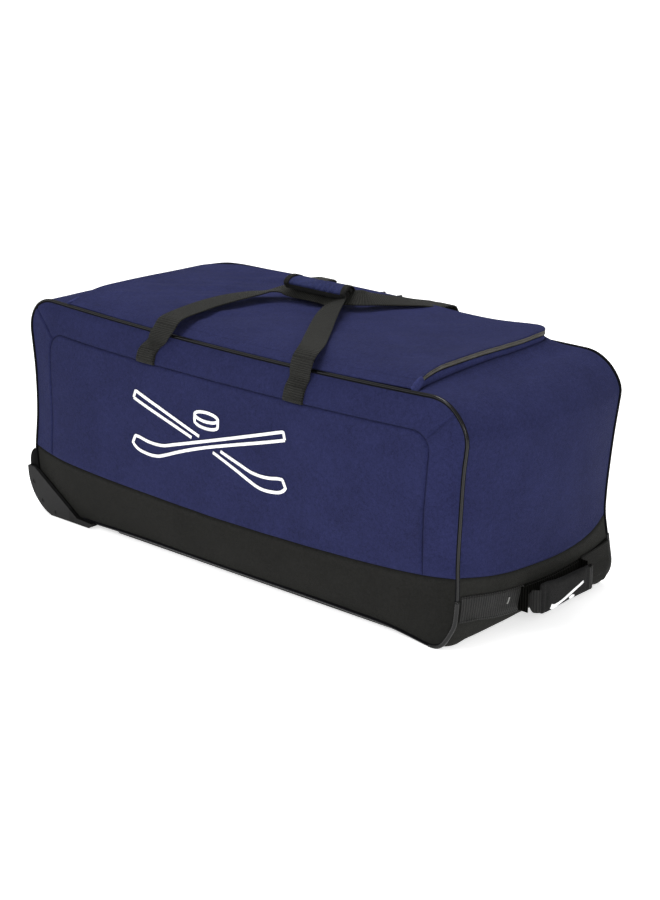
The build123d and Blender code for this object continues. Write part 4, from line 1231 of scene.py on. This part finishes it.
# Centre lines of the straps: x, y, z and roll in degrees.
FRONT_STRAP = ((-121, -190, 384, 0), (-120.5, -186.4, 388.2, 0), (-120, -180.5, 391.4, 0),
               (-120, -170, 393.6, 2), (-121, -154, 395, 3), (-122, -130, 396.5, 4),
               (-122, -98, 398.5, 4), (-117, -50, 400.5, 2), (-106, -12, 402, -4),
               (-93, 14, 403.5, -10), (-80, 29, 405.5, 8), (-62, 35, 408.5, 33), (-10, 36, 409, 33),
               (14, 35, 408.5, 33), (34, 24, 407.5, 28), (48, 4, 407, 20), (61, -18, 406, 14),
               (76, -43, 403.5, 9), (94, -71, 400.5, 5), (113, -99, 398, 2), (134, -130, 396, 0),
               (151, -155, 394.8, 0), (159, -170, 393.4, 0), (163.5, -180.5, 391.2, 0),
               (165, -186.4, 388.2, 0), (165, -190, 384, 0))
BACK_STRAP = ((128, 190, 384, 0), (127.5, 186.6, 386, 0), (126, 180, 387.6, 0), (123, 170, 389, -3),
              (118, 156, 391.3, -4), (110, 140, 394.6, -3), (100, 122, 398, -6), (88, 102, 401.5, -11),
              (76, 80, 405.5, -16), (63, 57, 410, -24), (44, 48, 409, -24), (0, 50, 404, -10),
              (-44, 50, 401, 0), (-64, 60, 399, 0), (-80, 84, 396.5, 0), (-96, 112, 395, 0),
              (-112, 140, 394.5, 0), (-119, 156, 393, 0), (-125, 173, 389.5, 0),
              (-127.5, 186, 386.4, 0), (-128, 190, 384, 0))


def haul_straps():
    """Both loops of webbing that cross over the lid, with the folds on their pivots."""
    for prefix, controls, side in (("front", FRONT_STRAP, -1), ("back", BACK_STRAP, 1)):
        piece = webbing(prefix + "_strap_webbing", [strap_run(controls, side)])
        finish_piece(piece, prefix + "_strap", [prefix + "_haul_strap"])
        for end, x, wide in zip(("left", "right"), CROSSING_X[side], LEAN_WIDTH[side]):
            fold_rod(f"{prefix}_strap_fold_{end}", x, wide, side, prefix + "_strap")


# --- Padding -----------------------------------------------------------------
FILL_STEPS = 20             # frames of the cloth simulation
FILL_PRESSURE = 4.0


def inflate(piece, pressure, cap):
    """Fills a closed mesh with a short cloth simulation, no point moving further than cap millimetres."""
    before = np.array([v.co for v in piece.data.vertices])
    cloth = piece.modifiers.new("fill", "CLOTH")
    cloth.settings.use_pressure = True
    cloth.settings.uniform_pressure_force = pressure
    cloth.settings.tension_stiffness = 12
    cloth.settings.compression_stiffness = 12
    cloth.settings.bending_stiffness = 0.4
    cloth.settings.effector_weights.gravity = 0
    scene = bpy.context.scene
    for step in range(1, FILL_STEPS + 1):
        scene.frame_set(step)
    filled = piece.evaluated_get(bpy.context.evaluated_depsgraph_get())
    after = np.array([v.co for v in filled.data.vertices])
    piece.modifiers.remove(cloth)
    scene.frame_set(1)
    move = after - before
    length = np.linalg.norm(move, axis=1, keepdims=True)
    move *= np.minimum(1, cap * MM / np.maximum(length, 1e-9))
    piece.data.vertices.foreach_set("co", (before + move).ravel())
    piece.data.update()


def remesh(piece, size):
    """Gives a closed mesh an even grid of faces, size millimetres wide."""
    modifier = piece.modifiers.new("remesh", "REMESH")
    modifier.mode = "VOXEL"
    modifier.voxel_size = size * MM
    with bpy.context.temp_override(object=piece, active_object=piece, selected_objects=[piece]):
        bpy.ops.object.modifier_apply(modifier="remesh")


def pad(name, points, material, size, cap, shape):
    """Padded piece from closed rings: remeshed, filled by simulation, then shaped by its seams."""
    piece = closed_mesh(name, points, material)
    remesh(piece, size)
    inflate(piece, FILL_PRESSURE, cap)
    co = np.array([v.co for v in piece.data.vertices]) / MM
    piece.data.vertices.foreach_set("co", (shape(co) * MM).ravel())
    piece.data.materials.clear()
    piece.data.materials.append(material)
    piece.data.polygons.foreach_set("use_smooth", [True] * len(piece.data.polygons))
    piece.modifiers.new("smooth", "SUBSURF").levels = 1
    piece.data.update()
    return piece


# --- Grip --------------------------------------------------------------------
WRAP_LEFT = -66.0
WRAP_RIGHT = 51.0
WRAP_SLANT = 0.42           # how much the right end is cut away, for each millimetre towards the back
WRAP_OUTSIDE = ((22.5, 415.5), (20.5, 419), (22, 423), (27, 426.5), (35, 428.5), (45, 427.5),
                (55, 423.5), (63, 417), (67.5, 410), (67, 405))     # (y, z) of the section
WRAP_INSIDE = ((60.5, 406), (57, 411.5), (50, 417.5), (43, 421), (35, 422), (29.5, 420.5), (27, 418.5),
               (27.5, 416))
WRAP_EDGES = ((22.6, 414.5, -0.1), (67.4, 406.0, 0.1))      # (y, z, lean) of the tapes along both edges
LINING_SIZE = 1.12          # of the lining, next to the wrap's hollow that it fills
BINDING_T = 2.4
PUCKER = 2.9                # height of the puckers, and their length in millimetres to each radian
PUCKER_LENGTH = 2.1
WRAP_SWELL = ((1.3, (26, 24, 40), 2.2),)


def slanted(points):
    """The grip's right end is cut at a slant, shorter towards the back."""
    points = np.array(points, float)
    share = (points[..., 0] - WRAP_LEFT) / (WRAP_RIGHT - WRAP_LEFT)
    points[..., 0] -= WRAP_SLANT * (points[..., 1] - WRAP_OUTSIDE[0][0]) * share
    return points


def wrap_ripples(co):
    """Puckers across the grip, where the cloth is gathered along its binding."""
    x, y, z = co[:, 0], co[:, 1], co[:, 2]
    over = smooth(z, 408, 416) * smooth(x - WRAP_LEFT, 0, 12) * smooth(WRAP_RIGHT - x, 0, 12)
    wave = np.sin((x + 0.35 * (y - 20)) / PUCKER_LENGTH + 1.4 * np.sin(x / 11) + 0.8 * np.sin(y / 9))
    puckers = PUCKER * wave * (0.55 + 0.45 * np.sin(x / 14 + 1))
    lean = over * (puckers + layered(co, WRAP_SWELL))
    return stack(x, y - 0.5 * lean, z + 0.8 * lean)


def grip():
    """Padded wrap over both straps, bound in black at its ends and along its edges."""
    section = np.array(WRAP_OUTSIDE + WRAP_INSIDE)
    stations = np.linspace(WRAP_LEFT, WRAP_RIGHT, 24)
    points = slanted(np.stack([stack(x, section[:, 0], section[:, 1]) for x in stations]))
    wrap = pad("grip_wrap_pad", points, NAVY_MESH, 3.0, 3.0, wrap_ripples)
    finish_piece(wrap, "front_strap", ["grip_wrap"])
    grip_inside(section)
    grip_bindings()


def grip_inside(section):
    """Black lining that fills the wrap's hollow, and its end faces."""
    inner = np.array(WRAP_INSIDE)
    inner = inner.mean(axis=0) + (inner - inner.mean(axis=0)) * LINING_SIZE
    stations = np.linspace(WRAP_LEFT + 1, WRAP_RIGHT - 1, 16)
    lining = np.stack([stack(x, inner[:, 0], inner[:, 1]) for x in stations])
    pieces = [closed_mesh("grip_lining", slanted(lining), THREAD)]
    for x, outward in ((WRAP_LEFT, -1), (WRAP_RIGHT, 1)):
        rings = [stack(x + outward * depth, section[:, 0], section[:, 1]) for depth in (-1.0, 1.6)]
        pieces.append(closed_mesh(f"grip_end_face_{x:.0f}", slanted(rings), BINDING))
    finish_piece(join("grip_lining", pieces), "front_strap")


def grip_bindings():
    """Black tape round the wrap's ends and along its edges."""
    outside = spline([(0, y, z) for y, z in WRAP_OUTSIDE], 4)
    runs = []
    for x in (WRAP_LEFT - 1.0, WRAP_RIGHT + 1.0):
        line = outside + np.array([x, 0, 0])
        swell = line - np.array([x, 42, 412])
        runs.append((slanted(line) + unit(swell) * 1.0, np.tile([1.0, 0.0, 0.0], (len(line), 1))))
    piece = webbing("grip_end_binding", runs, 10.0, BINDING_T, BINDING)
    finish_piece(piece, "front_strap", ())
    runs = []
    for y, z, lean in WRAP_EDGES:
        line = slanted(stack(np.linspace(WRAP_LEFT - 4, WRAP_RIGHT + 4, 30), y, z))
        runs.append((line, np.tile([0.0, lean, 1.0], (30, 1))))
    piece = webbing("grip_edge_binding", runs, 7.0, BINDING_T, BINDING)
    finish_piece(piece, "front_strap", ())


# --- Pull handle -------------------------------------------------------------
STRIP_MIDDLE = ((-176, 69), (-93, 58), (-48, 55), (0, 53), (60, 53), (109, 55), (176, 60))   # (y, z)
STRIP_END_Y = -55.0
HANDLE_LOW_Y = -58.5
HANDLE_HIGH_Y = 83.6
HANDLE_Z = 55.0
PAD_Z = 58.0
PIVOT_X = 480.0
RUN_X = 498.5               # the handle's long run and its pad
LOOP_W = 36.0
PAD_LOW_Y = -51.0
PAD_HIGH_Y = 65.0
STRIP_HALF = 177.0
BARTACK_Y = -88.0
SMALL_STICK = ((-34, 44), (-26, 41.5), (-17, 43), (44, 60))     # (y, z) along the printed stick


def outward_lines(lines):
    """Lines on the pull end with their outward direction, as stitches() takes them."""
    return [(line, (1, 0, 0)) for line in lines]


def end_strip():
    """Webbing sewn across the end band; behind the handle it is painted near-black, as painted shade."""
    for name, low, high, material in (("end_strip_webbing", -STRIP_HALF, STRIP_END_Y, END_WEB),
                                      ("end_strip_behind", STRIP_END_Y, STRIP_HALF, STUB_WEB_SHADE)):
        y = np.linspace(low, high, 50)
        z = through(STRIP_MIDDLE, y)[:, None] + np.linspace(-WEB_W / 2, WEB_W / 2, 13)[None]
        points = end_point(np.broadcast_to(y[:, None], z.shape), z, 2.4)
        piece = grid_mesh(name, points, material, CENTRE)
        thicken(piece, WEB_T)
        finish_piece(piece, "bag", ["end_webbing"])

    y = np.linspace(-STRIP_HALF, 88, 60)
    middle, edge = through(STRIP_MIDDLE, y), WEB_W / 2 - 2.2
    lines = [end_point(y, middle + shift, 2.6) for shift in (-edge, edge)]
    stitches("end_strip_stitches", outward_lines(lines), THREAD, "bag")
    z = np.linspace(54, 64, 6)
    bartack = end_point(BARTACK_Y + 0.25 * (z - 54), z, 3.2)
    stitches("strip_bartack", outward_lines([bartack]), WHITE_THREAD, "bag", 1.6, 1.7)


def handle_patch():
    """Patch sewn over the back end of the strip."""
    y = np.linspace(89, 178, 24)
    z = np.linspace(25, 76, 20)
    grid_y, grid_z = np.meshgrid(y, z, indexing="ij")
    over = smooth(WEB_W / 2 + 4 - np.abs(grid_z - through(STRIP_MIDDLE, grid_y)), 0, 4)
    piece = grid_mesh("handle_patch_cloth", end_point(grid_y, grid_z, 1.8 + 2.3 * over), BLACK, CENTRE)
    thicken(piece, 1.4)
    finish_piece(piece, "bag", ["handle_patch"])
    border = [end_point(np.full(20, 92.0), np.linspace(28, 73, 20), 4.2),
              end_point(np.linspace(92, 176, 20), np.full(20, 73.0), 4.0)]
    stitches("patch_stitches", outward_lines(border), THREAD, "bag")


def handle_plan():
    """Plan of the handle's loop, out from one pivot, along and back to the other."""
    low, high = HANDLE_LOW_Y + 1.5, HANDLE_HIGH_Y - 1.5
    turn = 9.0
    start = [(x, low) for x in np.linspace(PIVOT_X - 1.5, RUN_X - turn, 5)[:-1]]
    first = [(RUN_X - turn + turn * math.sin(a), low + turn - turn * math.cos(a))
             for a in np.linspace(0, math.pi / 2, 8)]
    run = [(RUN_X, y) for y in np.linspace(low + turn, high - turn, 24)[1:-1]]
    second = [(x, high + low - y) for x, y in first[::-1]]
    end = [(x, high) for x, _ in start[::-1]]
    return np.array(start + first + run + second + end)


def pad_section(y, size):
    """Rounded section of the handle's pad, deeper towards the front."""
    half_x, half_z, r = 4.6 * size, 20.5 + 3.5 * (1 - smooth(y, -50, 40)), 4.0
    ring = []
    for k, (sx, sz) in enumerate(((1, 1), (-1, 1), (-1, -1), (1, -1))):
        x, z = RUN_X + sx * (half_x - r), PAD_Z + sz * (half_z - r)
        for a in np.linspace(0, math.pi / 2, 5) + k * math.pi / 2:
            ring.append((x + r * math.cos(a), y, z + r * math.sin(a)))
    return ring


def pad_seams(co):
    """Sewn hems near both ends of the pad and a slight sag between them."""
    x, y, z = co[:, 0], co[:, 1], co[:, 2]
    pinch = 0.42 * (np.exp(-((y + 43) / 2.2) ** 2) + np.exp(-((y - 57) / 2.2) ** 2))
    x = RUN_X + (x - RUN_X) * (1 - pinch) + 0.8 * ripple(co, (40, 26, 22), 6.6)
    return stack(x, y, z + 0.6 * ripple(co, (40, 30, 60), 9.1))


def handle():
    """Fixed stubs, the moving loop of webbing and its folded pad."""
    runs = []
    for y in (HANDLE_LOW_Y - 2.0, HANDLE_HIGH_Y + 2.0):
        foot = end_point(np.array([y]), np.array([HANDLE_Z]), 0.5)[0]
        line = np.linspace(foot, (PIVOT_X + 3.0, y, HANDLE_Z), 8)
        runs.append((line, np.tile([0.0, 0.0, 1.0], (8, 1))))
    # The stubs take the near-black webbing: painted shade in the gap behind the handle.
    piece = webbing("handle_stubs", runs, thick=2.6, material=STUB_WEB_SHADE)
    finish_piece(piece, "bag", ["handle_lugs"])

    plan = handle_plan()
    line = stack(plan[:, 0], plan[:, 1], HANDLE_Z)
    heel = 0.35 + 0.65 * smooth(plan[:, 0], PIVOT_X - 1.5, PIVOT_X + 11)
    across = np.outer(heel, [0.0, 0.0, 1.0])
    piece = webbing("handle_loop_webbing", [(line, across)], LOOP_W, material=LOOP_WEB)
    finish_piece(piece, "end_handle", ["end_handle_strap"])

    stations = np.linspace(PAD_LOW_Y, PAD_HIGH_Y, 28)
    sizes = [0.9, *[1.0] * (len(stations) - 2), 0.9]
    points = np.array([pad_section(y, size) for y, size in zip(stations, sizes)])
    sleeve = pad("handle_pad", points, BLACK_PAD, 3.2, 2.0, pad_seams)
    finish_piece(sleeve, "end_handle", ["end_handle_grip"])
    handle_print(sleeve)


def handle_print(sleeve):
    """Small generic print on the pad: a hockey stick and a puck, laid on its surface."""
    surface = BVHTree.FromObject(sleeve, bpy.context.evaluated_depsgraph_get())
    fine = spline([(0, y, z) for y, z in SMALL_STICK], 8)[:, 1:]
    blade = 2.2 + 1.6 * (1 - smooth(fine[:, :1], -24, -12))
    shaft = fine[:, None] + (left_of(fine) * blade)[:, None] * np.linspace(-1, 1, 4)[None, :, None]
    angle, radius = np.linspace(0, 2 * math.pi, 25), np.array([[0.0], [2.6], [5.2]])
    puck = np.stack([16 + radius * np.cos(angle) * 1.3, 44.5 + radius * np.sin(angle) * 0.6], axis=2)
    pieces = []
    for number, flat in enumerate((shaft, puck)):
        points = np.zeros((*flat.shape[:2], 3))
        for i, j in np.ndindex(flat.shape[:2]):
            start = Vector((RUN_X + 60, flat[i, j, 0], flat[i, j, 1])) * MM
            hit = surface.ray_cast(start, Vector((-1, 0, 0)))[0]
            points[i, j] = np.array(hit) / MM + (0.35, 0, 0)
        pieces.append(grid_mesh(f"handle_print_{number}", points, PRINT, CENTRE))
    piece = join("handle_print", pieces)
    thicken(piece, 0.3, 1)
    finish_piece(piece, "end_handle")


# --- Printed emblem ----------------------------------------------------------
EMBLEM_MIDDLE = -20.0
EMBLEM_GAP = 13.0           # one stick is left open where the other passes over it
STICK = ((160, 266, 6.5), (-72, 194, 6.5), (-92, 187, 7.5), (-110, 183, 9.5), (-134, 183, 10.5),
         (-156, 188, 9.5), (-162, 191, 7))    # (x, z, half its width)
PUCK_X = 25.0               # half axes of the puck's oval, and the heights of its two rims
PUCK_Z = 7.5
PUCK_TOP = 262.0
PUCK_LOW = 251.0
PRINT_W = 5.0               # width of the printed lines, and the spacing of their points
PRINT_STEP = 3.0


def stick_outline():
    """Closed outline of a hockey stick, relative to the emblem's middle, and its centre line."""
    fine = spline(STICK, 10)
    centre = fine[:, :2]
    side = left_of(centre) * fine[:, 2:3]
    upper, lower = centre + side, centre - side
    return np.concatenate([upper, lower[::-1], upper[:1]]), centre


def stroke(line, hidden=None):
    """Flat printed stroke along an (x, z) line; hidden marks the points that are left out."""
    v = np.linspace(-PRINT_W / 2, PRINT_W / 2, 4)
    flat = line[:, None] + left_of(line)[:, None] * v[None, :, None]
    points = face_point(flat[..., 0], flat[..., 1], -1, 0.75)
    keep = None
    if hidden is not None:
        keep = np.repeat(~(hidden[1:] | hidden[:-1])[:, None], 3, axis=1)
    return points, keep


def even(line):
    """The same line with evenly spaced points."""
    at = travelled(line)
    return sampled(line, at, np.linspace(0, at[-1], int(at[-1] / PRINT_STEP)))


def emblem():
    """Two crossed sticks and a puck in outline: a generic sports print."""
    outline, centre = stick_outline()
    outline = even(outline)
    mirror = outline * np.array([-1, 1])
    gap = np.min(np.linalg.norm(mirror[:, None] - even(centre)[None], axis=2), axis=1)
    angle = np.linspace(0, 2 * math.pi, 60)
    low = np.linspace(math.pi, 2 * math.pi, 30)
    puck = np.stack([PUCK_X * np.cos(angle), PUCK_TOP + PUCK_Z * np.sin(angle)], axis=1)
    rim = np.stack([PUCK_X * np.cos(low), PUCK_LOW + PUCK_Z * np.sin(low)], axis=1)
    wall = np.concatenate([[(-PUCK_X, PUCK_TOP)], rim, [(PUCK_X, PUCK_TOP)]])
    strokes = ((outline, None), (mirror, gap < EMBLEM_GAP), (puck, None), (even(wall), None))
    pieces = []
    for number, (line, hidden) in enumerate(strokes):
        points, keep = stroke(line + np.array([EMBLEM_MIDDLE, 0]), hidden)
        pieces.append(grid_mesh(f"emblem_{number}", points, PRINT, CENTRE, keep=keep))
    piece = join("emblem_print", pieces)
    thicken(piece, 0.5, 1)
    finish_piece(piece, "bag")


# --- Studio ------------------------------------------------------------------
FLOOR = 9000.0
LENS = 82.16
SENSOR = 36.0
CAMERA = (2.1087, -2.2788, 1.1871)      # in metres, as are the lights
AIM = (0.0445, 0, 0.1710)
LIGHTS = (("key", (-0.3, -2.7, 2.3), (0, 0, 0.2), 1.2, 23),
          ("right", (2.3, -1.75, 1.2), (0.3, 0, 0.2), 1.0, 25),
          ("top", (-0.3, 0.3, 2.8), (0, 0, 0.35), 1.4, 54))


def area_light(name, place, target, size, power):
    """Round soft light at a place, turned towards a target."""
    light = bpy.data.lights.new(name, "AREA")
    light.shape = "DISK"
    light.size = size
    light.energy = power
    lamp = bpy.data.objects.new(name, light)
    bpy.context.scene.collection.objects.link(lamp)
    lamp.location = place
    lamp.rotation_euler = (Vector(target) - Vector(place)).to_track_quat("-Z", "Y").to_euler()


def studio():
    """Pale floor, soft light from all sides with a little more from above, and the camera."""
    shader = Shader("pale_floor", (0.93, 0.93, 0.93), 0.9, 0.1)
    shader.set("Emission Color", (1, 1, 1, 1))
    shader.set("Emission Strength", 0.6)
    corners = [(-FLOOR, -FLOOR, 0), (FLOOR, -FLOOR, 0), (FLOOR, FLOOR, 0), (-FLOOR, FLOOR, 0)]
    floor = add_object("floor", corners, [[0, 1, 2, 3]], shader.material)
    floor.location.z = -0.0004
    world = bpy.data.worlds.new("studio")
    world.use_nodes = True
    background = world.node_tree.nodes["Background"]
    background.inputs["Color"].default_value = (1, 1, 1, 1)
    background.inputs["Strength"].default_value = 0.6
    bpy.context.scene.world = world
    for light in LIGHTS:
        area_light(*light)
    lens = bpy.data.cameras.new("camera")
    lens.lens = LENS
    lens.sensor_width = SENSOR
    lens.clip_end = 50
    camera = bpy.data.objects.new("camera", lens)
    bpy.context.scene.collection.objects.link(camera)
    camera.location = CAMERA
    camera.rotation_euler = (Vector(AIM) - camera.location).to_track_quat("-Z", "Y").to_euler()
    bpy.context.scene.camera = camera
    bpy.context.scene.view_settings.view_transform = "Standard"


studio()
finish_nodes()
for side, prefix in ((-1, "front"), (1, "back")):
    side_face(side, prefix)
    piping(side, prefix)
    strap_roots(side, prefix)
    corner_lip(side, prefix)
top_and_ends()
end_band(1, "pull_side")
end_band(-1, "wheel_side")
bottom()
zipper()
lid()
haul_straps()
grip()
end_strip()
handle_patch()
handle()
emblem()
